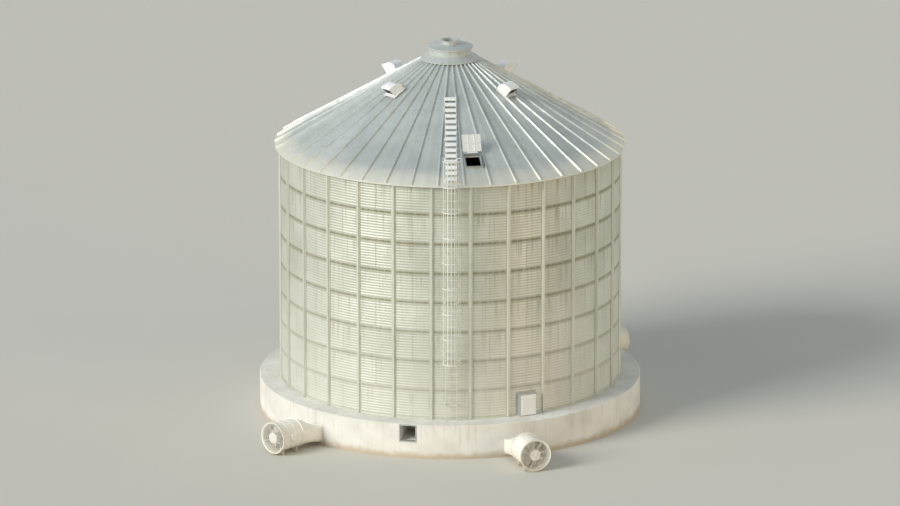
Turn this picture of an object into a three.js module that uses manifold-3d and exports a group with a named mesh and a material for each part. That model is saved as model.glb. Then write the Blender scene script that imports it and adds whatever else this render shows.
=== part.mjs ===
// A flat-bottom grain silo: a round corrugated steel bin on a raised concrete plinth.
// Millimetres, +Z up. The origin is the centre of the plinth's underside and -Y is the front.
// An angle phi is measured from the front towards +X: a point is (r sin phi, -r cos phi).
import * as THREE from 'three';
import { mergeVertices } from 'three/addons/utils/BufferGeometryUtils.js';
import Module from 'manifold-3d';

const wasm = await Module();
wasm.setup();

// Driving dimensions of the bin
const SHEETS_PER_RING = 14;
const RING_COUNT = 8;
const RING_PITCH = 1118;
const WALL_RADIUS = 6400;
const SHEET_DEPTH = 15;
const WALL_HEIGHT = RING_COUNT * RING_PITCH;
const ROOF_PANEL_COUNT = 42;
const ROOF_SECTOR_COUNT = 7;
const ROOF_SLOPE = THREE.MathUtils.degToRad(30);
const ROOF_EAVE_RADIUS = 6580;
const ROOF_PEAK_RADIUS = 750;
const ROOF_SHEET = 12;
const ROOF_RIB_HEIGHT = 65;
const ROOF_RIB_BASE = 70;
const ROOF_RIB_TOP = 40;
const ROOF_LAP = 60;

// Driving dimensions of the foundation
const PLINTH_RADIUS = 7200;
const PLINTH_INNER_RADIUS = 5900;
const PLINTH_HEIGHT = 1300;
const PORT_SIZE = 600;
const PORT_FLOOR = 650;

// Gaps: a seam between fixed neighbours, and the play of moving pieces
const SEAM = 0.4;
const PIN_PLAY = 0.43;
const MOVING_GAP = 5;

// Shapes that are joined into one solid reach this far into each other
const WELD = 1;

// Round pieces are many-sided. One facet is a third of the way between two wall stiffeners.
const FACET_COUNT = 84;
const PIN_SIDES = 16;
const RUNG_SIDES = 6;
const FACET = (2 * Math.PI) / FACET_COUNT;
const SHEET_ANGLE = (2 * Math.PI) / SHEETS_PER_RING;
const PANEL_ANGLE = (2 * Math.PI) / ROOF_PANEL_COUNT;

// Places around the bin
const LADDER_ANGLE = 3 * FACET;
const HATCH_ANGLE = 5 * FACET;
const DOOR_ANGLE = 9 * FACET;
const VENT_ANGLES = [15 * FACET, 33 * FACET, -27 * FACET, -9 * FACET];
const FAN_ANGLES = [7.5 * FACET, 34.5 * FACET, -34.5 * FACET, -7.5 * FACET];

// Heights that follow from the driving dimensions
const WALL_TOP = PLINTH_HEIGHT + WALL_HEIGHT;
const EAVE_RING_INNER = WALL_RADIUS - 60;
const EAVE_RING_OUTER = WALL_RADIUS + 40;
const EAVE_RING_TOP = WALL_TOP + 56;

const galvanised = { color: 0xc3c6bf, roughness: 0.45, metalness: 0.7 };
const roofSteel = { color: 0xb4bab8, roughness: 0.4, metalness: 0.7 };
const concrete = { color: 0xe6e2d8, roughness: 0.9, metalness: 0 };
const paintedWhite = { color: 0xebe6da, roughness: 0.5, metalness: 0.1 };
const darkSteel = { color: 0x8d908c, roughness: 0.5, metalness: 0.6 };

const silo = new THREE.Group();
silo.name = 'grain_silo';

// Adds a named mesh. An angle turns it about the bin's axis.
function add(name, geometry, finish, angle = 0) {
  const material = new THREE.MeshStandardMaterial({ ...finish, flatShading: true });
  const mesh = new THREE.Mesh(geometry, material);
  mesh.name = name;
  mesh.rotation.z = angle;
  silo.add(mesh);
  return mesh;
}

// Closed geometry to a solid that can be joined and cut, and back
function toSolid(geometry) {
  const bare = geometry.clone();
  bare.deleteAttribute('normal');
  bare.deleteAttribute('uv');
  const welded = mergeVertices(bare, 1e-3);
  return new wasm.Manifold(new wasm.Mesh({
    numProp: 3,
    vertProperties: Float32Array.from(welded.attributes.position.array),
    triVerts: Uint32Array.from(welded.index.array),
  }));
}

function toGeometry(solid) {
  const mesh = solid.getMesh();
  const geometry = new THREE.BufferGeometry();
  geometry.setAttribute('position', new THREE.BufferAttribute(mesh.vertProperties, 3));
  geometry.setIndex(new THREE.BufferAttribute(mesh.triVerts, 1));
  return geometry;
}

function join(geometries) {
  const [first, ...others] = geometries.map(toSolid);
  return toGeometry(others.reduce((whole, piece) => whole.add(piece), first));
}

function cut(geometry, tools) {
  return toGeometry(tools.map(toSolid).reduce((whole, tool) => whole.subtract(tool), toSolid(geometry)));
}

function common(geometry, other) {
  return toGeometry(toSolid(geometry).intersect(toSolid(other)));
}

// Plain shapes, given by their limits
function box([x0, x1], [y0, y1], [z0, z1]) {
  const geometry = new THREE.BoxGeometry(x1 - x0, y1 - y0, z1 - z0);
  return geometry.translate((x0 + x1) / 2, (y0 + y1) / 2, (z0 + z1) / 2);
}

function around(middle, width) {
  return [middle - width / 2, middle + width / 2];
}

function rodAlongX(radius, [x0, x1], y, z, sides) {
  const geometry = new THREE.CylinderGeometry(radius, radius, x1 - x0, sides);
  return geometry.rotateZ(Math.PI / 2).translate((x0 + x1) / 2, y, z);
}

function rodAlongZ(radius, x, y, [z0, z1], sides) {
  const geometry = new THREE.CylinderGeometry(radius, radius, z1 - z0, sides);
  return geometry.rotateX(Math.PI / 2).translate(x, y, (z0 + z1) / 2);
}

// Turns a profile of [radius, height] points about the Z axis
function revolve(profile, sides) {
  const points = profile.map(([radius, height]) => new THREE.Vector2(radius, height));
  return new THREE.LatheGeometry(points, sides).rotateX(Math.PI / 2);
}

function ringBand(inner, outer, [z0, z1], sides) {
  return revolve([[inner, z0], [outer, z0], [outer, z1], [inner, z1], [inner, z0]], sides);
}

function polar(radius, angle) {
  return new THREE.Vector2(radius * Math.sin(angle), -radius * Math.cos(angle));
}

// Distance from the axis to the flat facet at an angle, for a many-sided ring of this radius
function facetRadius(radius, angle) {
  const within = angle - Math.floor(angle / FACET) * FACET;
  return (radius * Math.cos(FACET / 2)) / Math.cos(within - FACET / 2);
}

// Roof surfaces: the underside touches the eave ring's outer top edge
const SLOPE_RISE = Math.tan(ROOF_SLOPE);
const UNDERSIDE_AT_AXIS = EAVE_RING_TOP + SEAM + EAVE_RING_OUTER * SLOPE_RISE;
const SHEET_RISE = ROOF_SHEET / Math.cos(ROOF_SLOPE);
const RIB_RISE = ROOF_RIB_HEIGHT / Math.cos(ROOF_SLOPE);

function roofUnderside(radius) {
  return UNDERSIDE_AT_AXIS - radius * SLOPE_RISE;
}

function roofTop(radius) {
  return roofUnderside(radius) + SHEET_RISE;
}

// A frame on the roof: x along the eave, y uphill, z square to the sheet
function onRoof(angle, radius) {
  return new THREE.Matrix4()
    .makeRotationZ(angle)
    .multiply(new THREE.Matrix4().makeTranslation(0, -radius, roofTop(radius)))
    .multiply(new THREE.Matrix4().makeRotationX(ROOF_SLOPE));
}

// One roof sector: flat tapering panels with a raised rib at each panel's first edge
function roofSector(startAngle, sheetRise) {
  const panels = ROOF_PANEL_COUNT / ROOF_SECTOR_COUNT;
  const columns = [{ angle: startAngle, offset: -ROOF_LAP + SEAM / 2, rise: 0 }];
  for (let panel = 0; panel < panels; panel += 1) {
    const angle = startAngle + panel * PANEL_ANGLE;
    columns.push({ angle, offset: -ROOF_RIB_BASE / 2, rise: 0 });
    columns.push({ angle, offset: -ROOF_RIB_TOP / 2, rise: RIB_RISE });
    columns.push({ angle, offset: ROOF_RIB_TOP / 2, rise: RIB_RISE });
    columns.push({ angle, offset: ROOF_RIB_BASE / 2, rise: 0 });
    columns.push({ angle: angle + PANEL_ANGLE / 2, offset: 0, rise: 0 });
  }
  const endAngle = startAngle + panels * PANEL_ANGLE;
  columns.push({ angle: endAngle, offset: -ROOF_LAP - SEAM / 2, rise: 0 });

  const positions = [];
  for (const { angle, offset, rise } of columns) {
    for (const height of [rise, -sheetRise]) {
      for (const radius of [ROOF_EAVE_RADIUS, ROOF_PEAK_RADIUS]) {
        const x = radius * Math.sin(angle) + offset * Math.cos(angle);
        const y = -radius * Math.cos(angle) + offset * Math.sin(angle);
        positions.push(x, y, roofTop(radius) + height);
      }
    }
  }

  // Corners of a column, in the order that the positions were written
  const TOP_OUT = 0;
  const TOP_IN = 1;
  const UNDER_OUT = 2;
  const UNDER_IN = 3;
  const index = [];
  const quad = (a, b, c, d) => index.push(a, b, c, a, c, d);
  for (let column = 0; column < columns.length - 1; column += 1) {
    const here = column * 4;
    const next = here + 4;
    quad(here + TOP_OUT, next + TOP_OUT, next + TOP_IN, here + TOP_IN);
    quad(here + UNDER_IN, next + UNDER_IN, next + UNDER_OUT, here + UNDER_OUT);
    quad(here + TOP_OUT, here + UNDER_OUT, next + UNDER_OUT, next + TOP_OUT);
    quad(here + TOP_IN, next + TOP_IN, next + UNDER_IN, here + UNDER_IN);
  }
  const last = (columns.length - 1) * 4;
  quad(TOP_OUT, TOP_IN, UNDER_IN, UNDER_OUT);
  quad(last + UNDER_OUT, last + UNDER_IN, last + TOP_IN, last + TOP_OUT);

  const geometry = new THREE.BufferGeometry();
  geometry.setAttribute('position', new THREE.Float32BufferAttribute(positions, 3));
  geometry.setIndex(index);
  return geometry;
}

const SECTOR_ANGLE = (2 * Math.PI) / ROOF_SECTOR_COUNT;

function allSectors(sheetRise) {
  const starts = Array.from({ length: ROOF_SECTOR_COUNT }, (_, sector) => sector * SECTOR_ANGLE);
  return starts.map((start) => roofSector(start, sheetRise));
}

// Cuts a piece that stands on the roof so that it sits on the sheets and ribs
const BELOW_ROOF = 900;

function seatOnRoof(geometry) {
  return cut(geometry, allSectors(BELOW_ROOF).map((sector) => sector.translate(0, 0, SEAM)));
}

// Foundation: a concrete ring with a conveyor port at the front, around the fill and floor slab
function makeFoundation() {
  const ring = ringBand(PLINTH_INNER_RADIUS, PLINTH_RADIUS, [0, PLINTH_HEIGHT], FACET_COUNT);
  const port = box(around(0, PORT_SIZE), [-2 * PLINTH_RADIUS, 0], [PORT_FLOOR, PORT_FLOOR + PORT_SIZE]);
  add('plinth_ring', cut(ring, [port]), concrete);

  const radius = PLINTH_INNER_RADIUS - SEAM;
  const slab = revolve([[0, 0], [radius, 0], [radius, PLINTH_HEIGHT], [0, PLINTH_HEIGHT]], FACET_COUNT);
  add('floor_slab', slab, concrete);
}

// Wall: one upright segment for each sheet, with two stiffener posts on its outside
const POST_DEPTH = 70;
const POST_BASE = 110;
const POST_TOP = 60;

function wallSegment([bottom, top]) {
  const facets = FACET_COUNT / SHEETS_PER_RING;
  const half = SHEET_ANGLE / 2;
  const seamAngle = SEAM / 2 / WALL_RADIUS;
  const outside = [];
  const inside = [];
  for (let facet = 0; facet <= facets; facet += 1) {
    const corner = -half + facet * FACET;
    const angle = THREE.MathUtils.clamp(corner, -half + seamAngle, half - seamAngle);
    outside.push(polar(facetRadius(WALL_RADIUS, angle), angle));
    inside.push(polar(facetRadius(WALL_RADIUS - SHEET_DEPTH, angle), angle));
    if (facet === 1 || facet === facets - 2) {
      const middle = corner + FACET / 2;
      const along = new THREE.Vector2(Math.cos(middle), Math.sin(middle));
      const flat = WALL_RADIUS * Math.cos(FACET / 2);
      const foot = polar(flat, middle);
      const crest = polar(flat + POST_DEPTH, middle);
      outside.push(foot.clone().addScaledVector(along, -POST_BASE / 2));
      outside.push(crest.clone().addScaledVector(along, -POST_TOP / 2));
      outside.push(crest.clone().addScaledVector(along, POST_TOP / 2));
      outside.push(foot.clone().addScaledVector(along, POST_BASE / 2));
    }
  }
  const outline = new THREE.Shape([...outside, ...inside.reverse()]);
  const geometry = new THREE.ExtrudeGeometry(outline, { depth: top - bottom, bevelEnabled: false });
  return geometry.translate(0, 0, bottom);
}

// Doorway through the second segment
const DOOR_FRAME_WIDTH = 700;
const DOOR_FRAME_HEIGHT = 850;
const DOOR_FRAME_INNER_RADIUS = 6320;
const DOOR_FRAME_OUTER_RADIUS = 6600;
const DOORWAY_WIDTH = 560;
const DOORWAY_HEIGHT = 710;
const DOOR_SILL = 70;
const DOOR_LAP = 25;
const DOOR_PLATE = 20;
const DOOR_FRAME_TOP = PLINTH_HEIGHT + DOOR_FRAME_HEIGHT;

function makeWall() {
  for (let sheet = 0; sheet < SHEETS_PER_RING; sheet += 1) {
    const angle = (sheet + 0.5) * SHEET_ANGLE;
    if (Math.abs(angle - DOOR_ANGLE) < FACET / 2) {
      makeDoorwayWall();
    } else {
      const number = String(sheet + 1).padStart(2, '0');
      add(`wall_segment_${number}`, wallSegment([PLINTH_HEIGHT, WALL_TOP]), galvanised, angle);
    }
  }
}

function makeDoorwayWall() {
  const beside = wallSegment([PLINTH_HEIGHT, DOOR_FRAME_TOP]);
  const edge = DOOR_FRAME_WIDTH / 2 + SEAM;
  const depth = [-PLINTH_RADIUS, 0];
  const height = [0, WALL_TOP];
  const left = box([-PLINTH_RADIUS, -edge], depth, height);
  const right = box([edge, PLINTH_RADIUS], depth, height);
  add('wall_left_of_door', common(beside, left), galvanised, DOOR_ANGLE);
  add('wall_right_of_door', common(beside, right), galvanised, DOOR_ANGLE);
  add('wall_over_door', wallSegment([DOOR_FRAME_TOP + SEAM, WALL_TOP]), galvanised, DOOR_ANGLE);
}

// Access door: a steel frame and a leaf that swings outwards on two pins
const HINGE_X = 330;
const HINGE_Y = -DOOR_FRAME_OUTER_RADIUS - 20;
const HINGE_HEIGHTS = [PLINTH_HEIGHT + 200, PLINTH_HEIGHT + 650];
const HINGE_PIN_RADIUS = 8;
const HINGE_PIN_ROOT = 10;
const HINGE_PIN_HEAD = 5;
const HINGE_BRACKET = 24;
const HINGE_BRACKET_FOOT = 25;
const KNUCKLE_RADIUS = 15;
const KNUCKLE_HEIGHT = 40;
const KNUCKLE_WELD = 6;
const KNUCKLE_ARM = 30;
const DOOR_LEAF_RIGHT = 300;
const DOOR_HANDLE_X = -255;
const DOOR_HANDLE_SHEET = 24;
const DOOR_HANDLE_REACH = 40;
const DOOR_HANDLE_LENGTH = 160;

function makeDoor() {
  const opening = [PLINTH_HEIGHT + DOOR_SILL, PLINTH_HEIGHT + DOOR_SILL + DOORWAY_HEIGHT];
  const outer = box(
    around(0, DOOR_FRAME_WIDTH),
    [-DOOR_FRAME_OUTER_RADIUS, -DOOR_FRAME_INNER_RADIUS],
    [PLINTH_HEIGHT, DOOR_FRAME_TOP],
  );
  const hole = box(around(0, DOORWAY_WIDTH), [-PLINTH_RADIUS, 0], opening);
  const pins = HINGE_HEIGHTS.flatMap((height) => [
    box(
      around(HINGE_X, HINGE_BRACKET),
      [HINGE_Y - HINGE_BRACKET / 2, -DOOR_FRAME_OUTER_RADIUS + WELD],
      [height - HINGE_BRACKET_FOOT, height - MOVING_GAP],
    ),
    rodAlongZ(
      HINGE_PIN_RADIUS,
      HINGE_X,
      HINGE_Y,
      [height - HINGE_PIN_ROOT, height + KNUCKLE_HEIGHT + HINGE_PIN_HEAD],
      PIN_SIDES,
    ),
  ]);
  add('door_frame', join([cut(outer, [hole]), ...pins]), darkSteel, DOOR_ANGLE);

  const back = -DOOR_FRAME_OUTER_RADIUS - MOVING_GAP;
  const front = back - DOOR_PLATE;
  const plate = box(
    [-DOORWAY_WIDTH / 2 - DOOR_LAP, DOOR_LEAF_RIGHT],
    [front, back],
    [opening[0] - DOOR_LAP, opening[1] + DOOR_LAP],
  );
  const armX = [DOOR_LEAF_RIGHT - WELD, HINGE_X - KNUCKLE_RADIUS + KNUCKLE_WELD];
  const arms = HINGE_HEIGHTS.map((height) =>
    box(armX, [front, back], around(height + KNUCKLE_HEIGHT / 2, KNUCKLE_ARM)));
  const knuckles = HINGE_HEIGHTS.map((height) =>
    rodAlongZ(KNUCKLE_RADIUS, HINGE_X, HINGE_Y, [height, height + KNUCKLE_HEIGHT], PIN_SIDES));
  const bore = [PLINTH_HEIGHT, DOOR_FRAME_TOP];
  const bores = [rodAlongZ(HINGE_PIN_RADIUS + PIN_PLAY, HINGE_X, HINGE_Y, bore, PIN_SIDES)];
  const handle = box(
    around(DOOR_HANDLE_X, DOOR_HANDLE_SHEET),
    [front - DOOR_HANDLE_REACH, front + WELD],
    around(PLINTH_HEIGHT + DOOR_FRAME_HEIGHT / 2, DOOR_HANDLE_LENGTH),
  );
  add('door_leaf', cut(join([plate, ...arms, ...knuckles, handle]), bores), galvanised, DOOR_ANGLE);
}

// Roof: an eave ring on the wall's top edge, ribbed sectors, and the cap with the fill inlet
const CAP_RADIUS = 1100;
const CAP_SHEET = 14;
const DRUM_RADIUS = 800;
const DRUM_TOP = 13940;
const COLLAR_SHEET = 40;
const COLLAR_DROP = 30;
const LID_RADIUS = 860;
const LID_RISE = Math.tan(THREE.MathUtils.degToRad(8));
const INLET_RADIUS = 285;
const INLET_WALL = 15;
const INLET_TOP = 14180;
const FLANGE_RADIUS = 370;
const FLANGE_THICKNESS = 14;
const CAP_SIDES = 42;

function makeRoof() {
  const eave = ringBand(EAVE_RING_INNER, EAVE_RING_OUTER, [WALL_TOP, EAVE_RING_TOP], FACET_COUNT);
  add('eave_ring', eave, galvanised);

  const hatchHole = hatchShaft().applyMatrix4(onRoof(HATCH_ANGLE, HATCH_RADIUS));
  allSectors(SHEET_RISE).forEach((sector, number) => {
    const geometry = number === 0 ? cut(sector, [hatchHole]) : sector;
    add(`roof_sector_${number + 1}`, geometry, roofSteel);
  });

  // The cap rests on the rib crests, whose edges stand above a chord of the many-sided cap
  const chordSag = (ROOF_RIB_TOP / 2) * Math.tan(Math.PI / CAP_SIDES) * SLOPE_RISE;
  const skirtUnder = (radius) => roofTop(radius) + RIB_RISE + chordSag + SEAM;
  const skirtTop = (radius) => skirtUnder(radius) + CAP_SHEET / Math.cos(ROOF_SLOPE);
  const lidUnder = (radius) => DRUM_TOP + (DRUM_RADIUS - radius) * LID_RISE;
  const lidTop = (radius) => lidUnder(radius) + CAP_SHEET;
  const collarOuter = ROOF_PEAK_RADIUS - SEAM;
  const collarInner = collarOuter - COLLAR_SHEET;
  const collarFoot = roofUnderside(ROOF_PEAK_RADIUS) - COLLAR_DROP;
  const stub = INLET_RADIUS + INLET_WALL;
  const profile = [
    [INLET_RADIUS, lidUnder(INLET_RADIUS)],
    [collarInner, lidUnder(collarInner)],
    [collarInner, collarFoot],
    [collarOuter, collarFoot],
    [collarOuter, skirtUnder(collarOuter)],
    [CAP_RADIUS, skirtUnder(CAP_RADIUS)],
    [CAP_RADIUS, skirtTop(CAP_RADIUS)],
    [DRUM_RADIUS, skirtTop(DRUM_RADIUS)],
    [DRUM_RADIUS, lidUnder(DRUM_RADIUS)],
    [LID_RADIUS, lidUnder(LID_RADIUS)],
    [LID_RADIUS, lidTop(LID_RADIUS)],
    [stub, lidTop(stub)],
    [stub, INLET_TOP - FLANGE_THICKNESS],
    [FLANGE_RADIUS, INLET_TOP - FLANGE_THICKNESS],
    [FLANGE_RADIUS, INLET_TOP],
    [INLET_RADIUS, INLET_TOP],
    [INLET_RADIUS, lidUnder(INLET_RADIUS)],
  ];
  add('peak_cap', revolve(profile, CAP_SIDES), roofSteel);
}

// Roof vents: hooded boxes with their screened mouths downhill, on a foot over the ribs
const VENT_RADIUS = 2600;
const VENT_FOOT = 620;
const VENT_WIDTH = 480;
const VENT_FOOT_SHEET = 14;
const VENT_FOOT_SINK = 12;
const VENT_PROFILE = [[250, 20], [250, 260], [90, 420], [-250, 470], [-310, 420], [-210, 20]];

function makeVents() {
  const outline = new THREE.Shape(VENT_PROFILE.map(([uphill, up]) => new THREE.Vector2(uphill, up)));
  const hood = new THREE.ExtrudeGeometry(outline, { depth: VENT_WIDTH, bevelEnabled: false });
  hood.rotateX(Math.PI / 2).rotateZ(Math.PI / 2).translate(-VENT_WIDTH / 2, 0, 0);
  const foot = box(
    around(0, VENT_FOOT),
    around(0, VENT_FOOT),
    [ROOF_RIB_HEIGHT - VENT_FOOT_SINK, ROOF_RIB_HEIGHT + VENT_FOOT_SHEET],
  );
  const vent = join([hood, foot]);
  VENT_ANGLES.forEach((angle, number) => {
    const placed = vent.clone().applyMatrix4(onRoof(angle, VENT_RADIUS));
    add(`roof_vent_${number + 1}`, seatOnRoof(placed), roofSteel);
  });
}

// Roof hatch: a square curb near the eave, and a lid on its uphill edge that stands thrown back
const HATCH_RADIUS = 5500;
const HATCH_OPEN = THREE.MathUtils.degToRad(150);
const HATCH_CLEAR = 600;
const HATCH_CURB = 640;
const HATCH_CURB_HEIGHT = 120;
const HATCH_CURB_FOOT = -20;
const HATCH_LID = 700;
const HATCH_LID_UPHILL_EDGE = 305;
const HATCH_LID_SHEET = 20;
const HATCH_PIN_Y = 360;
const HATCH_PIN_Z = HATCH_CURB_HEIGHT + MOVING_GAP + HATCH_LID_SHEET / 2;
const HATCH_EAR_X = 200;
const HATCH_EAR_SHEET = 12;
const HATCH_EAR_MARGIN = 14;
const HATCH_EAR_FOOT = 8;
const HATCH_ARM_SHEET = 14;
const HATCH_HANDLE_Y = -290;
const HATCH_HANDLE_SHEET = 20;
const HATCH_HANDLE_REACH = 40;
const HATCH_HANDLE_LENGTH = 160;

function hatchShaft() {
  return box(around(0, HATCH_CLEAR), around(0, HATCH_CLEAR), around(0, HATCH_CLEAR));
}

function makeHatch() {
  const place = onRoof(HATCH_ANGLE, HATCH_RADIUS);
  const half = HATCH_CURB / 2;
  const walls = box([-half, half], [-half, half], [HATCH_CURB_FOOT, HATCH_CURB_HEIGHT]);
  const earY = [half - WELD, HATCH_PIN_Y + HATCH_EAR_MARGIN];
  const earZ = [HATCH_CURB_HEIGHT - HATCH_EAR_FOOT, HATCH_PIN_Z + HATCH_EAR_MARGIN];
  const ears = [-HATCH_EAR_X, HATCH_EAR_X].map((x) => box(around(x, HATCH_EAR_SHEET), earY, earZ));
  const pinEnd = HATCH_EAR_X + HATCH_EAR_SHEET / 2;
  const pin = rodAlongX(HINGE_PIN_RADIUS, [-pinEnd, pinEnd], HATCH_PIN_Y, HATCH_PIN_Z, PIN_SIDES);
  const curb = join([cut(walls, [hatchShaft()]), ...ears, pin]);
  add('hatch_curb', seatOnRoof(curb.applyMatrix4(place)), roofSteel);

  const under = HATCH_CURB_HEIGHT + MOVING_GAP;
  const lidTop = under + HATCH_LID_SHEET;
  const plate = box(around(0, HATCH_LID), [-HATCH_LID / 2, HATCH_LID_UPHILL_EDGE], [under, lidTop]);
  const knuckleEnd = HATCH_EAR_X - HATCH_EAR_SHEET / 2 - MOVING_GAP;
  const knuckle = rodAlongX(KNUCKLE_RADIUS, [-knuckleEnd, knuckleEnd], HATCH_PIN_Y, HATCH_PIN_Z, PIN_SIDES);
  const armY = [HATCH_LID_UPHILL_EDGE - WELD, HATCH_PIN_Y - KNUCKLE_RADIUS + KNUCKLE_WELD];
  const arm = box([-knuckleEnd, knuckleEnd], armY, around(HATCH_PIN_Z, HATCH_ARM_SHEET));
  const boreRadius = HINGE_PIN_RADIUS + PIN_PLAY;
  const bore = rodAlongX(boreRadius, [-HATCH_LID, HATCH_LID], HATCH_PIN_Y, HATCH_PIN_Z, PIN_SIDES);
  const handle = box(
    around(0, HATCH_HANDLE_LENGTH),
    around(HATCH_HANDLE_Y, HATCH_HANDLE_SHEET),
    [lidTop - WELD, lidTop + HATCH_HANDLE_REACH],
  );
  const lid = cut(join([plate, knuckle, arm, handle]), [bore]);
  lid.translate(0, -HATCH_PIN_Y, -HATCH_PIN_Z).rotateX(-HATCH_OPEN).translate(0, HATCH_PIN_Y, HATCH_PIN_Z);
  add('hatch_lid', lid.applyMatrix4(place), roofSteel);
}

// Ladder up the wall, standing on the plinth's ledge, with its cage as three flat lattices
const LADDER_RADIUS = 6640;
const LADDER_CLEAR = 400;
const STILE_SHEET = 15;
const STILE_DEPTH = 50;
const LADDER_TOP = WALL_TOP + 1100;
const RUNG_RADIUS = 13;
const RUNG_PITCH = 300;
const RUNG_WELD = 5;
const BRACKET_COUNT = 5;
const BRACKET_MARGIN = 600;
const CAGE_WIDTH = 690;
const CAGE_DEPTH = 640;
const CAGE_BAR = 15;
const CAGE_STRAP = 40;
const CAGE_FOOT = PLINTH_HEIGHT + 2300;
const HOOP_COUNT = 9;

function hoopHeights() {
  const pitch = (LADDER_TOP - CAGE_STRAP - CAGE_FOOT) / (HOOP_COUNT - 1);
  return Array.from({ length: HOOP_COUNT }, (_, hoop) => CAGE_FOOT + CAGE_STRAP / 2 + hoop * pitch);
}

function makeWallLadder() {
  const stileInner = LADDER_CLEAR / 2;
  const stileOuter = stileInner + STILE_SHEET;
  const stileY = around(-LADDER_RADIUS, STILE_DEPTH);
  const pieces = [
    box([-stileOuter, -stileInner], stileY, [PLINTH_HEIGHT, LADDER_TOP]),
    box([stileInner, stileOuter], stileY, [PLINTH_HEIGHT, LADDER_TOP]),
  ];
  const rung = [-stileInner - RUNG_WELD, stileInner + RUNG_WELD];
  const topRung = LADDER_TOP - RUNG_PITCH / 4;
  for (let height = PLINTH_HEIGHT + RUNG_PITCH; height < topRung; height += RUNG_PITCH) {
    pieces.push(rodAlongX(RUNG_RADIUS, rung, -LADDER_RADIUS, height, RUNG_SIDES));
  }
  const sheetY = -(WALL_RADIUS - stileInner * Math.tan(FACET / 2)) - SEAM;
  const bracketPitch = (WALL_HEIGHT - 2 * BRACKET_MARGIN) / (BRACKET_COUNT - 1);
  for (let bracket = 0; bracket < BRACKET_COUNT; bracket += 1) {
    const height = around(PLINTH_HEIGHT + BRACKET_MARGIN + bracket * bracketPitch, CAGE_STRAP);
    pieces.push(box([stileInner + WELD, stileOuter - WELD], [-LADDER_RADIUS, sheetY], height));
    pieces.push(box([-stileOuter + WELD, -stileInner - WELD], [-LADDER_RADIUS, sheetY], height));
  }
  for (const height of hoopHeights()) {
    const arm = around(height, CAGE_STRAP);
    const armY = around(-LADDER_RADIUS - STILE_DEPTH / 2 + CAGE_BAR / 2, CAGE_BAR);
    pieces.push(box([-CAGE_WIDTH / 2, -stileInner - WELD], armY, arm));
    pieces.push(box([stileInner + WELD, CAGE_WIDTH / 2], armY, arm));
  }
  add('wall_ladder', join(pieces), galvanised, LADDER_ANGLE);
}

// A flat lattice of level hoop bars and upright straps, in the plane of X and Z
function lattice([x0, x1], thickness, strapPlaces) {
  const depth = [0, thickness];
  const bars = hoopHeights().map((height) => box([x0, x1], depth, around(height, CAGE_STRAP)));
  const height = [CAGE_FOOT, LADDER_TOP - CAGE_STRAP];
  const straps = strapPlaces.map((x) => box(around(x, CAGE_STRAP), depth, height));
  return join([...bars, ...straps]);
}

function makeCage() {
  const half = CAGE_WIDTH / 2;
  const near = -LADDER_RADIUS - STILE_DEPTH / 2 - SEAM;
  const far = near - CAGE_DEPTH;
  const sideStraps = [-CAGE_DEPTH / 2, -CAGE_DEPTH + CAGE_STRAP / 2];
  const side = lattice([-CAGE_DEPTH, 0], CAGE_BAR, sideStraps).rotateZ(Math.PI / 2);
  add('cage_left', side.clone().translate(-half + CAGE_BAR, near, 0), galvanised, LADDER_ANGLE);
  add('cage_right', side.clone().translate(half, near, 0), galvanised, LADDER_ANGLE);
  const front = lattice([-half, half], CAGE_BAR, [-half / 2, 0, half / 2]);
  add('cage_front', front.translate(0, far - SEAM - CAGE_BAR, 0), galvanised, LADDER_ANGLE);
}

// Ladder up the roof, on feet that lift it over the ribs
const ROOF_LADDER_FOOT_RADIUS = 6450;
const ROOF_LADDER_HEAD_RADIUS = 2450;
const ROOF_LADDER_LIFT = 75;
const ROOF_LADDER_DEPTH = 40;
const ROOF_LADDER_FEET = 5;
const ROOF_LADDER_FOOT_MARGIN = 150;
const ROOF_LADDER_FOOT_LENGTH = 60;
const ROOF_LADDER_FOOT_SINK = 25;

function makeRoofLadder() {
  const length = (ROOF_LADDER_FOOT_RADIUS - ROOF_LADDER_HEAD_RADIUS) / Math.cos(ROOF_SLOPE);
  const stileInner = LADDER_CLEAR / 2;
  const stileOuter = stileInner + STILE_SHEET;
  const level = [ROOF_LADDER_LIFT, ROOF_LADDER_LIFT + ROOF_LADDER_DEPTH];
  const pieces = [
    box([-stileOuter, -stileInner], [0, length], level),
    box([stileInner, stileOuter], [0, length], level),
  ];
  const middle = (level[0] + level[1]) / 2;
  const rung = [-stileInner - RUNG_WELD, stileInner + RUNG_WELD];
  for (let run = RUNG_PITCH / 2; run < length; run += RUNG_PITCH) {
    pieces.push(rodAlongX(RUNG_RADIUS, rung, run, middle, RUNG_SIDES));
  }
  const footPitch = (length - 2 * ROOF_LADDER_FOOT_MARGIN) / (ROOF_LADDER_FEET - 1);
  const footHeight = [-ROOF_LADDER_FOOT_SINK, ROOF_LADDER_LIFT + WELD];
  for (let foot = 0; foot < ROOF_LADDER_FEET; foot += 1) {
    const run = around(ROOF_LADDER_FOOT_MARGIN + foot * footPitch, ROOF_LADDER_FOOT_LENGTH);
    pieces.push(box([-stileOuter + WELD, -stileInner - WELD], run, footHeight));
    pieces.push(box([stileInner + WELD, stileOuter - WELD], run, footHeight));
  }
  const ladder = join(pieces).applyMatrix4(onRoof(LADDER_ANGLE, ROOF_LADDER_FOOT_RADIUS));
  add('roof_ladder', seatOnRoof(ladder), galvanised);
}

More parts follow.
